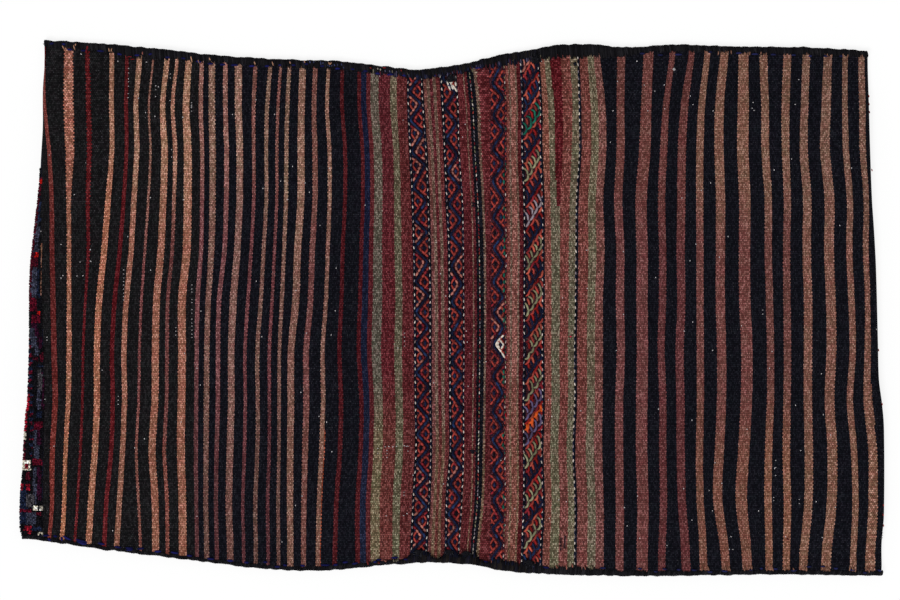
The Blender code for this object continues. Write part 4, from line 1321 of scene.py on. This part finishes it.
# The pile fronts come round the left fold, where a strip of their knots shows. Each entry is a
# patch of one colour by its left, top, right and bottom in the photo; later ones lie over it.
KNOT_NIGHT, KNOT_SLATE = (19, 18, 22), (58, 60, 76)
KNOT_NAVY, KNOT_GREY = (28, 35, 56), (70, 67, 72)
KNOT_MAROON, KNOT_CRIMSON, KNOT_RED = (68, 16, 29), (86, 16, 33), (190, 28, 24)
KNOT_PLUM, KNOT_IVORY, KNOT_ROSE = (50, 17, 38), (212, 204, 188), (142, 24, 42)
PILE_PATCHES = (
    ((36, 178, 43, 196), KNOT_MAROON), ((40.4, 179, 43, 183), KNOT_RED),
    ((35, 196, 42, 214), (28, 28, 38)), ((34, 213, 40.5, 241), KNOT_SLATE),
    ((38.6, 200, 42, 222), KNOT_NAVY), ((33, 244, 40, 251), KNOT_SLATE),
    ((31, 252, 39, 266), KNOT_MAROON), ((36.6, 251.6, 40, 257), KNOT_RED),
    ((31, 267, 38.5, 297), KNOT_SLATE), ((38, 268, 40.4, 296), KNOT_NAVY),
    ((30, 298, 38, 311), KNOT_CRIMSON), ((38.8, 310.6, 42, 314.4), KNOT_RED),
    ((33, 314, 41, 322), KNOT_CRIMSON), ((33, 322, 38, 330), KNOT_PLUM),
    ((36, 328, 40.5, 338), KNOT_PLUM), ((39, 336, 42.5, 347), KNOT_PLUM),
    ((31.5, 327, 35.5, 337), KNOT_SLATE), ((33.5, 336, 38.5, 346), KNOT_SLATE),
    ((35.5, 345, 40, 355), KNOT_SLATE), ((34, 356, 39.5, 360.5), KNOT_MAROON),
    ((41, 352, 45.5, 361), KNOT_MAROON), ((37, 363.6, 44, 367), KNOT_NAVY),
    ((39, 369, 43, 391), KNOT_GREY), ((38, 389, 42, 409), KNOT_SLATE),
    ((43, 372, 45.5, 408), KNOT_PLUM), ((38, 410, 43, 417), KNOT_NAVY),
    ((35.5, 420, 43, 428), KNOT_CRIMSON), ((35, 429, 38.2, 458), KNOT_SLATE),
    ((38.2, 428, 42, 444), KNOT_PLUM), ((38.2, 444, 41, 458), KNOT_SLATE),
    ((33.5, 458, 43, 464.6), KNOT_CRIMSON), ((34, 466, 37.6, 504), KNOT_SLATE),
    ((38, 466, 42, 500), KNOT_PLUM), ((20, 486, 28, 524), KNOT_NAVY),
    ((26.5, 493, 36, 507), KNOT_GREY), ((27, 511, 36.5, 524), KNOT_SLATE),
    ((33.4, 504.4, 39, 510.4), KNOT_IVORY), ((40, 504.4, 43.4, 510.4), KNOT_IVORY),
    ((19, 508.2, 32.4, 511.2), KNOT_CRIMSON), ((36, 511, 42, 515), KNOT_CRIMSON),
    ((27.6, 470, 31.2, 479), KNOT_MAROON), ((27, 482.6, 31, 490), KNOT_ROSE),
    ((32, 526, 41.6, 530), KNOT_NAVY), ((24, 524.6, 31, 530.4), KNOT_ROSE),
    ((28, 530.4, 31.4, 534), KNOT_ROSE), ((38.4, 532.4, 42.4, 534.2), (176, 168, 152)),
    ((34.4, 534.6, 38, 536.2), (130, 124, 112)),
    ((22.6, 459.4, 32.2, 469.4), KNOT_IVORY), ((26, 462, 29.6, 467), KNOT_ROSE),
)
# Rows of the photo at which the guard stripe changes between red, blue and the dark ground, its
# columns, how it leans above a row, and the looks of the fold's own rim.
GUARD_TOP, GUARD_BOTTOM, GUARD_CHECK = 338, 458, 5.6
GUARD_LEFT, GUARD_RIGHT = 31.2, 34.2
GUARD_BEND, GUARD_LEAN = 362, 0.12
RIM_LOOKS = ((195, 300, KNOT_MAROON), (338, 393, None), (393, 430, (158, 24, 46)),
             (430, 438.6, KNOT_IVORY), (438.6, 459, KNOT_CRIMSON), (483, 490, KNOT_ROSE))
RIM_WIDTH = 2.4
TUFT_PITCH, TUFT_SHAKE = 0.0021, 0.0004
TUFT_RADIUS, TUFT_UNEVEN, TUFT_VARIES = 0.0014, 0.15, 0.36
# A tuft's length, the share of it that is always there and the share left to chance, its root
# below the cloth, and how far it leans near, to either side and along.
TUFT_LENGTH, TUFT_CUT, TUFT_CHANCE, TUFT_ROOT = 0.0022, 0.75, 0.2, 0.001
TUFT_LEAN, TUFT_SWAY, TUFT_NOD = 0.0012, 0.0006, 0.0008
TUFT_BEND, TUFT_PAST_FOLD = 0.6, 0.0006
PILE_FROM_ROW = 168
# How far the knots keep inside the near edge and the fold, and go past their end on the back.
KNOTS_NEAR, KNOTS_FOLD, KNOTS_PAST = 0.003, 0.0007, 0.0005


def knot_look(column, row, from_rim):
    """The dye of the knot at this place of the photo."""
    look = KNOT_NIGHT
    for (left, top, right, bottom), dye in PILE_PATCHES:
        if left <= column < right and top <= row < bottom:
            look = dye
    check = (KNOT_CRIMSON, KNOT_NIGHT, KNOT_NAVY)[int(row / GUARD_CHECK * 2) % 3]
    leaned = column + max(0, GUARD_BEND - row) * GUARD_LEAN
    if GUARD_TOP < row < GUARD_BOTTOM and GUARD_LEFT < leaned < GUARD_RIGHT:
        look = check
    for top, bottom, dye in RIM_LOOKS:
        if top <= row < bottom and from_rim < RIM_WIDTH:
            look = check if dye is None else dye
    return look


def tuft(x, y):
    """One knot's cut end, leaning towards the near side."""
    fold = left_fold(y)
    radius = fold_radius(max(edge_inset(x, y), 0))
    share = min(max(x - fold, 0.0) / radius, 1.0)
    out = Vector((share - 1, 0, math.sqrt(1 - (1 - share) ** 2)))
    base = Vector((x, y, back_height(x, y)))
    column, row = ORIGIN_PIXEL[0] + x / PIXEL, ORIGIN_PIXEL[1] - y / PIXEL
    look = varied(knot_look(column, row, (x - fold) / PIXEL), TUFT_VARIES)
    lean = Vector((off(TUFT_SWAY), off(TUFT_NOD) - TUFT_LEAN, 0))
    tip = base + out * TUFT_LENGTH * (TUFT_CUT + off(TUFT_CHANCE)) + lean
    tip.x = max(tip.x, fold - TUFT_PAST_FOLD)
    line = [base - out * TUFT_ROOT, mix(base, tip, TUFT_BEND), tip]
    return line, TUFT_RADIUS * (1 + off(TUFT_UNEVEN)), look


def tufts():
    """The knots that show, row by row."""
    made = []
    y = row_y(PILE_FROM_ROW)
    while y > near_edge(left_fold(y)) + KNOTS_NEAR:
        x = left_fold(y) + KNOTS_FOLD
        while x < pile_end(y) + KNOTS_PAST:
            made.append(tuft(x + off(TUFT_SHAKE), y + off(TUFT_SHAKE)))
            x += TUFT_PITCH
        y -= TUFT_PITCH
    return made


tuft_yarns = yarns("fold_pile_knots", tufts(), taper=0.35, sides=6)
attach(tuft_yarns, "root")

# The overcast edges: dark wool wrapped over both layers of each pouch's side to close it,
# and over the bridge's single cloth. They replace the plain channels of the CAD.
WRAP_PITCH = 0.0020
WRAP_RADIUS = 0.0013
WRAP_LEAN = 0.0016
WRAP_LUMPS = 0.0013
RIM_OUT = 0.0009
# How far onto the cloth the wraps reach on the far and on the near side, by pixel.
FAR_REACH = ((40, 6), (87, 6), (112, 7.5), (127, 9), (165, 8.6), (190, 7), (215, 6),
             (340, 7), (400, 7), (462, 7), (473, 3.5), (484, 8), (500, 9.6), (540, 10.6),
             (560, 11.4), (602, 11.2), (622, 8), (645, 4.8), (672, 5.6), (700, 5),
             (730, 4.4), (750, 6), (790, 6.2), (830, 6), (870, 5))
NEAR_REACH = ((40, 1.6), (120, 1.4), (200, 1.8), (300, 2.6), (340, 3.6), (390, 3), (404, 4),
              (410, 9), (427, 9), (431, 3.6), (440, 3.6), (445, 9), (453, 9), (456, 8), (463, 9),
              (474, 9), (479, 4), (489, 4), (493, 8.5), (504, 9), (508, 8), (519, 8),
              (523, 11), (537, 11), (543, 5), (552, 6), (570, 7), (590, 6), (610, 4.2),
              (640, 4), (700, 3), (880, 3))
CHARCOAL, SOOT, MIDNIGHT, STEEL = (29, 28, 31), (21, 20, 23), (20, 22, 36), (32, 35, 56)
UMBER, DULL_RED, LILAC = (28, 25, 24), (64, 28, 33), (62, 58, 78)
SEAM_LOOKS = (CHARCOAL, SOOT, SOOT)
BRIDGE_LOOKS = (SOOT, SOOT, UMBER, (23, 22, 30))
HEM_LOOKS = {"far": (MIDNIGHT, STEEL, STEEL, LILAC, DULL_RED), "near": (SOOT, MIDNIGHT)}
# How thick the wraps are and how much each differs from the next in look, thickness, lean,
# reach and pitch, and the lumps of the edge.
WRAP_VARIES, WRAP_THICKER, WRAP_UNEVEN = 0.25, 1.05, 0.10
WRAP_SWAY, REACH_UNEVEN, PITCH_UNEVEN = 0.0006, 0.16, 0.10
LUMP_WAVES, LUMP_SIDE, LUMP_SEED = 120, 5.0, 0.3
FIRST_WRAP, SOLE_ABOVE = 0.3, 1.2
# A wrap's points from its end on the cloth to its end below: how much each leans, where the
# second lies on its way to the rim, where it turns down at the lip, how it goes round the rim
# and where it lies below, with the heights of the first three.
WRAP_LEANS = (1, 0.6, 0.3, 0, 0, -0.3, -1)
WRAP_HALF, LIP_IN, UNDER_IN, UNDER_END = 0.55, 0.0018, 0.0016, 0.0050
RIM_TURNS = (0.3, 0.7)
END_LIFT, HALF_LIFT, HALF_DROP, LIP_DROP = 0.0002, 0.0010, 0.0004, 0.0003
# The second row: the share of wraps that it holds down, its look, thickness and shape.
HEM_SHARE, HEM_VARIES, HEM_THINNER = 0.8, 0.3, 0.85
HEM_LEANS = (1.3, 1, 0.8)
HEM_IN_CHANCE, HEM_OUT_CHANCE = 0.0008, 0.12
HEM_END_LIFT, HEM_LIFT = 0.0006, 0.0030


def wrap(x, rim, inward, lean, way, lip, sole):
    """One wrap, from the cloth over the rim and under it."""
    end, half, outer = rim - way * inward, rim - way * inward * WRAP_HALF, rim + way * RIM_OUT
    across = (end, half, rim - way * LIP_IN, outer, outer, rim - way * UNDER_IN,
              rim - way * UNDER_END)
    heights = (back_height(x + lean, end) + END_LIFT,
               max(back_height(x, half) + HALF_LIFT, lip - HALF_DROP), lip - LIP_DROP,
               *(mix(lip, sole, share) for share in RIM_TURNS), sole, sole)
    return [Vector((x + lean * share, y, z))
            for share, y, z in zip(WRAP_LEANS, across, heights)]


def hem(x, rim, inward, lean, way, lip):
    """One stitch of the second row, which holds the first one's ends down."""
    inner = rim - way * (inward + off(HEM_IN_CHANCE))
    outer = rim - way * inward * (0.5 + off(HEM_OUT_CHANCE))
    across = (inner, mix(inner, outer, 0.5), outer)
    heights = (back_height(x + lean, inner) + HEM_END_LIFT,
               mix(back_height(x, outer) + HEM_LIFT, lip, 0.5), lip + HEM_END_LIFT)
    return [Vector((x + lean * share, y, z)) for share, y, z in zip(HEM_LEANS, across, heights)]


def wraps(node_name, looks, hems):
    """The wraps of one binding, side by side along its lumpy edge."""
    low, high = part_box(node_name)
    far = low.y + high.y > 0
    edge, reaches, way = (far_edge, FAR_REACH, 1) if far else (near_edge, NEAR_REACH, -1)
    reach = smooth([(from_photo(column, 0)[0], pixels * PIXEL) for column, pixels in reaches])
    lip, sole = high.z - WRAP_RADIUS, low.z + WRAP_RADIUS * SOLE_ABOVE
    strands = []
    x = low.x + WRAP_RADIUS * FIRST_WRAP
    while x < high.x:
        lump = noise.noise(Vector((x * LUMP_WAVES, way * LUMP_SIDE, LUMP_SEED))) * WRAP_LUMPS
        rim = edge(x) - way * (WRAP_RADIUS - lump)
        lean = WRAP_LEAN + off(WRAP_SWAY)
        inward = reach(x) * (1 + off(REACH_UNEVEN))
        look = varied(yarn_luck.choice(looks), WRAP_VARIES)
        strands.append((wrap(x, rim, inward, lean, way, lip, sole),
                        WRAP_RADIUS * (WRAP_THICKER + off(WRAP_UNEVEN)), look))
        if hems and yarn_luck.random() < HEM_SHARE:
            strands.append((hem(x, rim, inward, lean, way, lip), WRAP_RADIUS * HEM_THINNER,
                            varied(yarn_luck.choice(hems), HEM_VARIES)))
        x += WRAP_PITCH * (1 + off(PITCH_UNEVEN))
    return strands


for side in ("far", "near"):
    for place, looks, hems in (("left_seam", SEAM_LOOKS, ()),
                               ("bridge", BRIDGE_LOOKS, HEM_LOOKS[side]),
                               ("right_seam", SEAM_LOOKS, ())):
        node_name = f"{place}_binding_{side}"
        piece = yarns(f"{node_name}_wraps", wraps(node_name, looks, hems), step=0.0028, taper=0.5)
        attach(piece, "root")
        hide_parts(node_name)

# Lumps of goat hair, sewn on at the bridge's edges and at the right pouch's mouth.
HAIR_DARK, HAIR_GREY = (22, 22, 26), (52, 52, 58)
HAIRS = 150
HAIR_RADIUS, CORE_RADIUS = 0.0004, 0.0016
HAIRS_DARK = 0.7
HAIR_LUMPS = 6
# From how far below a lump's middle to how far above it hairs point, how much they curl to
# the side, and how far their ends stay above the lump's underside.
HAIR_RISE, HAIR_CURL, HAIR_FLOOR = (-0.1, 1.0), 0.9, 0.0003
# The shares of a lump's half size at which a hair starts, bends and ends, how much of its
# sideways curl it has at the bend, the core's share, and that of hairs on the inward side.
HAIR_START, HAIR_BEND, HAIR_END, HAIR_SWAY = 0.35, 0.85, (0.8, 1.2), 0.4
CORE_SHARE, CORE_RISE, INWARD_SHARE = 0.6, 0.5, 0.3
# How far hairs lie towards the bag's outside, and how much longer they are there.
FAR_SHIFT, FAR_OUTWARD = 0.0, 1.5
NEAR_SHIFT, NEAR_OUTWARD = -0.0040, 1.2
CORE_TURNS, CORE_TWIST, CORE_POINTS, CORE_STEP = 5, 1.9, 6, 1.3


def hair_lump(node_name):
    """Hairs that start near the lump's middle and curl outward, and a ball of yarn inside."""
    low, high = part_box(node_name)
    middle, reach = (low + high) / 2, (high - low) / 2
    way = 1 if middle.y > 0 else -1
    shift, outward = (FAR_SHIFT, FAR_OUTWARD) if way > 0 else (NEAR_SHIFT, NEAR_OUTWARD)
    strands = []
    for _ in range(HAIRS):
        turn, rise = yarn_luck.uniform(0, math.tau), yarn_luck.uniform(*HAIR_RISE)
        flat = math.sqrt(1 - max(rise, 0) ** 2)
        out = Vector((math.cos(turn) * flat, math.sin(turn) * flat, rise))
        side = Vector((-out.y, out.x, 0)) * off(HAIR_CURL)
        start = middle + Vector([part * size * HAIR_START for part, size in zip(out, reach)])
        bend = middle + Vector([part * size * HAIR_BEND
                                for part, size in zip(out + side * HAIR_SWAY, reach)])
        end = middle + Vector([part * size * yarn_luck.uniform(*HAIR_END)
                               for part, size in zip(out + side, reach)])
        for point in (start, bend, end):
            from_middle = (point.y - middle.y) * way
            share = outward if from_middle > 0 else INWARD_SHARE
            point.y = middle.y + shift + way * from_middle * share
        end.z = max(end.z, low.z + HAIR_FLOOR)
        look = HAIR_DARK if yarn_luck.random() < HAIRS_DARK else HAIR_GREY
        strands.append(([start, bend, end], HAIR_RADIUS, varied(look)))
    for turn in range(CORE_TURNS):
        twist = turn * CORE_TWIST
        ring = []
        for number in range(CORE_POINTS):
            angle = number * CORE_STEP
            across = max(math.sin(angle + twist) * reach.y * CORE_SHARE * way,
                         -reach.y * INWARD_SHARE)
            rise = math.sin(angle * CORE_STEP + twist) * reach.z * CORE_RISE
            ring.append(middle + Vector((math.cos(angle) * reach.x * CORE_SHARE,
                                         shift + way * across, rise)))
        strands.append((ring, CORE_RADIUS, HAIR_DARK))
    return strands


for number in range(1, HAIR_LUMPS + 1):
    node_name = f"hair_knot_{number}"
    piece = yarns(f"{node_name}_hairs", hair_lump(node_name), step=0.002, taper=0.8, sides=5)
    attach(piece, "root")
    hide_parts(node_name)

# Blue running stitches along both long edges, by the ends of each in the photo.
STITCH_BLUE = (25, 26, 76)
STITCHES = (
    (49, 44, 54, 43.4), (61, 44, 66, 44.3), (67, 49.2, 72, 49.8),
    (81, 50.5, 87, 50.5), (97, 50.6, 104, 51.2), (117, 53.6, 122, 54.6), (134, 55.2, 140, 55),
    (148, 54.6, 153, 53.4),
    (164.5, 57, 170.5, 57.5), (181, 58, 186, 58.5), (196, 61, 201, 62), (208, 63.7, 213, 63.7),
    (220, 64.5, 225, 64.5), (231, 65, 238, 65), (249, 66, 254.5, 66), (265, 66, 269, 66),
    (278, 65, 282, 65), (291, 65, 296, 65), (304, 64, 309, 64), (320, 66, 325, 66),
    (335, 68.5, 340, 68.5), (350, 69, 355, 69), (363, 71, 368, 71),
    (48, 538.5, 50.5, 540.5), (43, 535.5, 49, 535.5), (53.5, 536, 57, 536.5),
    (61, 537, 62, 541), (63, 536.3, 70.5, 540), (76, 539.5, 87, 542.5), (77, 541.5, 87, 544.5),
    (80, 543.5, 87, 544), (98, 543.2, 104.5, 544.4), (114.5, 546.5, 121, 547.8),
    (125.5, 548, 132.5, 548.2), (126, 550, 133, 549.8), (137.5, 549, 144, 548.2),
    (154.5, 551.5, 161, 551.5), (171, 552.2, 178, 553.3), (186.6, 555.4, 192, 556),
    (207, 558.6, 214, 559.2), (227, 560.6, 233.2, 561), (244.4, 562.4, 248.6, 562.6),
    (263.4, 562, 267.4, 562.2), (274.6, 566.6, 280, 566.8), (283.2, 565, 286.8, 565.4),
    (300.6, 565.4, 304.6, 565.8), (321, 565, 329.6, 565.2), (333.4, 565, 337.8, 564.8),
    (342.8, 562.6, 347.8, 562), (352, 564, 358, 563),
    (509, 563, 516, 564), (529, 566.5, 536, 566.5), (543, 567, 549, 568),
)
HEM_STITCHES = (
    (375.5, 73.2, 380.5, 73.8), (387, 74.6, 394, 74.3), (401.5, 74.8, 406.5, 76),
    (420.5, 76, 425, 75.2), (432.5, 75, 437.5, 75.6), (475, 68, 482, 67),
    (376.5, 559.8, 381, 559.4), (391.5, 557.8, 398, 557.4), (373.6, 562, 376.6, 561.6),
    (403.5, 559.4, 408.5, 559.8), (412.4, 559, 414.6, 558.6), (483, 561.5, 488.5, 562.5),
)
NAVY_STITCHES = (
    (640, 53.5, 645, 53.5), (658, 55, 663, 55), (675, 54.5, 682, 54.5), (709, 52, 712, 52),
    (736, 53, 742, 53), (751.5, 54, 758.5, 54), (770.5, 54.5, 776, 54.5), (791.5, 55, 796, 55),
    (809, 56, 812, 56), (824, 56, 828, 56), (839.5, 56, 843, 56), (600, 568, 606, 568),
    (638, 568.6, 642, 569), (653.6, 571.6, 658, 571.8), (662.8, 568.8, 666.8, 569.4),
    (677, 569.6, 680.4, 569.8), (691.6, 570, 696.6, 570.4), (707, 571.8, 713, 572),
    (721.6, 571, 727.8, 571.4), (749.4, 570.2, 752.8, 569.8), (760, 568.5, 763, 568.5),
    (772.8, 568.6, 777.8, 569.2), (790.4, 570.8, 797.4, 570.4), (806, 567, 811.5, 566.5),
    (821, 566.5, 825, 566.8), (834, 568.5, 838, 568.5), (849.5, 569.5, 854.5, 570.5),
    (863, 572.5, 867, 573), (878, 570, 882, 571.5),
)
SHORT_STITCHES = (
    (303.5, 60.5, 304, 64), (309.5, 60.5, 310.5, 64), (313.5, 61, 314, 63.5),
    (320.5, 61, 321, 66), (323, 62, 323, 64.5), (328, 65.5, 331, 66.5), (327.5, 64, 328, 66.5),
    (334, 63, 335, 67), (337.5, 62.5, 338, 67.5), (341, 63, 342, 66), (343, 66, 344, 69),
    (289.4, 61, 290.4, 62.6), (331.5, 64.5, 332, 67),
)

NAVY_STITCH, PALE_STITCH = (31, 33, 68), (54, 60, 92)
# Each kind of stitch: its ends, look, radius and lift.
STITCH_KINDS = (
    (STITCHES, STITCH_BLUE, 0.0013, 0.0016), (HEM_STITCHES, STITCH_BLUE, 0.0012, 0.0034),
    (NAVY_STITCHES, NAVY_STITCH, 0.0012, 0.0020), (SHORT_STITCHES, PALE_STITCH, 0.0007, 0.0020),
)


def straight(lines, look, radius, lift=0.0012, reach=0.1):
    """Straight yarns, each by its two ends in the photo."""
    for left, left_row, right, right_row in lines:
        ends = ((left, left_row), ((left + right) / 2, (left_row + right_row) / 2),
                (right, right_row))
        yield stitch(ends, radius, look, lift, at_photo, reach)


stitches = []
for kind in STITCH_KINDS:
    stitches += straight(*kind, reach=0.18)
stitch_yarns = yarns("running_stitches", stitches)
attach(stitch_yarns, "root")

# Weft ends that poke through the black edges, lint and bare warps where the weft has worn, and
# the white yarns of old repairs.
APRICOT_END, MADDER_END, ROSE_END = (166, 124, 100), (104, 30, 34), (140, 84, 74)
TAN_END = (128, 92, 76)
WEFT_ENDS = (
    (APRICOT_END, 0.0007, (
        (62, 45, 64, 49), (73, 44, 75, 50), (76, 43.5, 75, 46), (108.5, 47.5, 109.5, 52),
        (112, 47.5, 111, 52), (190.5, 55, 192, 62), (198, 59.5, 199, 63),
        (209, 57, 210.5, 61), (254, 61, 255.5, 65), (272, 61, 273.5, 66), (289.5, 61, 290.5, 64),
        (304, 60.5, 305, 63), (328.5, 62, 330, 65), (331.5, 62, 330, 65), (407, 73, 408, 75))),
    (MADDER_END, 0.0012, ((87.6, 45.5, 87, 49.5), (86.6, 49, 86.2, 53))),
    (MADDER_END, 0.0005, ((127, 56.5, 132.5, 56.8), (130, 59.5, 135, 59), (45.2, 44, 44.9, 56),
                          (44.9, 55, 44.7, 68))),
    (ROSE_END, 0.0007, ((142.5, 51, 142.6, 55), (572, 563.5, 572.6, 568), (556, 565, 557.5, 569),
                        (584, 565, 586, 571), (566, 564, 567, 571), (500, 561, 500.8, 565))),
    ((112, 104, 84), 0.0007, ((471.8, 66, 472.6, 72), (591, 565, 592.5, 570), (549, 56, 549, 60),
                              (540.5, 54.5, 540.3, 58), (513.5, 58, 513, 62), (506.5, 57, 506, 61),
                              (477.8, 560, 477.6, 565.5), (431, 556, 431.5, 560))),
    (TAN_END, 0.0008, (
        (702.5, 566, 701.8, 571.5), (707.5, 566, 709.2, 571.5), (725, 566, 726, 571),
        (728.5, 566, 730.5, 571.5), (745, 567, 744.4, 571.5), (752, 566, 751.5, 571),
        (767.8, 566, 766.6, 571.5), (770, 564, 769.8, 568), (772, 566, 773.2, 571.5),
        (785.6, 566, 784.6, 571.5), (789, 565, 789.6, 568.5), (793, 568, 794.4, 571),
        (804.6, 566, 804, 569.5), (806.5, 566, 806.6, 572), (822.6, 566, 823, 569.8),
        (826, 566, 826.4, 571.5), (828.2, 567, 829.6, 571.5), (850, 566, 849.6, 571),
        (852.4, 566, 853, 572), (866.6, 566, 865.6, 571), (869, 568, 869.4, 573),
        (872, 566, 873.2, 571.5))),
    (TAN_END, 0.0007, (
        (718.6, 51, 718.2, 55), (731, 50, 731.5, 54), (727, 51, 726.5, 55), (745, 52, 745.6, 55),
        (750, 51, 749.6, 55), (761, 51, 761, 55), (766.5, 52, 766, 56), (827.5, 53, 827, 57),
        (832, 54, 831.6, 57.5), (843, 53, 843.2, 57), (848, 54, 847.6, 57.5),
        (862, 54, 862.4, 58))),
)
# Ends of the stripes' own yarn that show through the bridge's hems.
HEM_ENDS = (
    ((104, 98, 84), 0.0007, (
        (373.2, 68.5, 373.6, 73), (392.2, 69.5, 392.4, 73.4), (407.6, 71.6, 408, 75.4),
        (425.5, 71, 425.8, 75.4), (433.4, 70.5, 433.8, 72.8), (446.8, 68.2, 446.4, 71),
        (396, 559, 396.4, 562.4), (397.8, 559, 398, 561.6), (393.4, 559, 394, 562),
        (430.4, 557, 431, 561), (433.6, 557, 434.2, 560.6), (438.8, 557, 439.4, 560))),
    ((176, 168, 156), 0.0007, (
        (377.6, 67.9, 378, 69.4), (380.3, 68.6, 380.6, 70.6), (440.4, 71.4, 440, 77.6))),
    ((84, 80, 102), 0.0007, tuple((column, row, column + 0.4, row + 2.6) for column, row in (
        (385, 69.5), (389.4, 70), (396.4, 70.6), (411.4, 71), (416, 71.6), (418.4, 72.4),
        (423.2, 71.4), (428.4, 71), (436.6, 70.2), (443.4, 68.8), (480.6, 60.4), (488, 58.6)))),
    ((112, 38, 38), 0.0008, (
        (370, 67.4, 371.2, 68.6), (382.8, 67.6, 386, 67.9), (401, 69.6, 401.6, 71.6),
        (431, 71.6, 431.4, 75), (367.4, 561, 368.2, 565), (378, 562.5, 379.6, 563.4))),
    ((136, 84, 74), 0.0008, (
        (420.8, 72, 421.2, 75), (384.4, 560, 386.2, 562), (491.4, 560, 492, 567),
        (495.6, 560, 496, 567))),
)
# Small mends in dark, maroon, pink and red yarn.
SMALL_MENDS = (
    ((24, 26, 34), 0.0010, (
        (573.6, 62.6, 575.2, 65.8), (575, 62, 576.2, 65.4), (469.8, 450.8, 474.8, 451.4),
        (471, 452.8, 474.4, 453.2), (471.4, 202.8, 474.8, 203.6), (472, 205.4, 475, 206.2))),
    ((70, 24, 30), 0.0009, ((786.6, 538.4, 788.4, 539.4),)),
    ((190, 30, 74), 0.0007, ((569.4, 336.6, 571.2, 336.2),)),
    ((150, 22, 32), 0.0009, ((505.4, 412.6, 506.2, 417.6),)),
)
# Bare warps show as pale dots one warp pair apart: a column, then the rows.
BARE_WARPS = (
    (192.5, (285, 289, 292, 299.5, 302.5, 309.5, 313, 319, 323, 326, 330, 334, 337.5)),
    (176.5, (327.5, 331, 335)), (124.5, (270, 274, 278, 281.5, 285, 289, 293, 296.5, 300)),
    (192, (103, 105.5, 107, 108, 111.5)), (128.7, (68.5, 73, 79, 82, 86.5, 94, 98)),
    (119, (396, 400, 404)), (81, (262,)), (103, (370,)), (201.5, (311,)), (48, (337, 340)),
    (46, (399,)), (404.5, (333, 337, 341, 346)), (378, (448, 453)), (387.2, (450, 453, 457)),
    (408, (446, 451)), (404, (492, 495)), (775, (460, 467, 475)),
    (762, (310, 314)), (773, (497, 500)), (798.5, (499, 503)), (156, (86, 90, 97)),
    (170.5, (74, 78, 101)), (882.6, (533, 535.5, 538)),
)
LINT = (
    (654.5, 91.5), (612.7, 111.5), (712.5, 111.5), (692.5, 105), (798.5, 79.5), (794.5, 104.5),
    (752.5, 103), (751.5, 108.5), (753.5, 110.5), (139, 98.5), (183.5, 117.5), (75, 195), (62, 278),
    (91.5, 261), (62, 244), (78, 276), (712, 350), (288, 200), (800, 450), (470, 354), (486, 362),
    (616, 350), (586.5, 250.5), (624, 507), (667, 545), (733, 549.5), (822, 537), (81, 54),
    (137.5, 52.5), (146.5, 62), (627, 525), (385.4, 446.6), (389, 446.2), (393, 446.6),
    (396.6, 446.2), (404.4, 445.4), (406.6, 445.8), (386.4, 515.2), (403.6, 515.4),
    (407, 513.6), (443.4, 484.4),
)
RED_FUZZ = ((883, 505), (882.8, 514.5), (883.6, 525.5), (869, 96), (869, 104), (869.5, 112),
            (872, 170), (878.6, 350), (882, 404))
WHITE_YARN, LINT_WHITE, FUZZ_RED = (214, 204, 192), (186, 182, 184), (150, 36, 30)
FAR_REPAIR = (
    (446.8, 80, 448.6, 86), (448.2, 85, 450.4, 90), (449.4, 79.6, 451.6, 85),
    (451.2, 84.4, 453.6, 90.4), (452.6, 79.4, 451.2, 83.6), (452.4, 84, 455, 89),
    (454.6, 87, 456.6, 91.4), (455.4, 81.4, 455.8, 85.8),
)
WHITE_REPAIRS = (
    (504.2, 334.4, 500.6, 338), (501, 337.4, 497.4, 341.4), (497.8, 340.8, 495.8, 345),
    (495.8, 344.4, 498.6, 348.6), (498.2, 348, 501.8, 352.2), (501.4, 351.6, 504.8, 357.8),
    (499.8, 340, 502.4, 343), (502.2, 342.4, 503.6, 345.4), (503.4, 344.8, 501.2, 349.2),
    (499, 341.4, 497.4, 345), (497.6, 344.4, 499.8, 348.6),
)
# A tuft of white lint caught in the wool, larger than the rest.
LINT_TUFT = ((672.6, 69.6, 674.6, 69.2), (673.4, 70.4, 675.6, 69.4), (673, 68.6, 675, 68.4))
# Sets of loose yarns, each with how far it stands above the cloth. A set has kinds of one
# look and radius.
LOOSE_SETS = (
    (WEFT_ENDS, 0.0026), (HEM_ENDS, 0.0036), (((WHITE_YARN, 0.0012, WHITE_REPAIRS),), 0.0022),
    (((WHITE_YARN, 0.0011, FAR_REPAIR),), 0.0030), (SMALL_MENDS, 0.0018),
)
LINT_RADIUS, FUZZ_RADIUS = 0.0006, 0.0007
# Half the length in pixels of a bare warp's dot and of a piece of lint, how crooked lint
# lies, and the ends of a piece of red fuzz from its middle.
BARE_HALF, LINT_HALF, LINT_TILT = 0.5, 0.6, 0.5
FUZZ_ENDS = (-0.4, -1.2, 0.2, 1.2)

loose = []
for kinds, lift in LOOSE_SETS:
    for look, radius, ends in kinds:
        loose += straight(ends, look, radius, lift)
for column, rows in BARE_WARPS:
    dots = [(column - BARE_HALF, row, column + BARE_HALF, row) for row in rows]
    loose += straight(dots, LINT_WHITE, LINT_RADIUS)
lint = [(column - LINT_HALF, row + off(LINT_TILT), column + LINT_HALF, row + off(LINT_TILT))
        for column, row in LINT]
loose += straight(lint, LINT_WHITE, LINT_RADIUS)
left, top, right, bottom = FUZZ_ENDS
fuzz = [(column + left, row + top, column + right, row + bottom) for column, row in RED_FUZZ]
loose += straight(fuzz, FUZZ_RED, FUZZ_RADIUS)
loose += straight(LINT_TUFT, LINT_WHITE, FUZZ_RADIUS)
loose_yarns = yarns("weft_ends_and_repairs", loose)
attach(loose_yarns, "root")
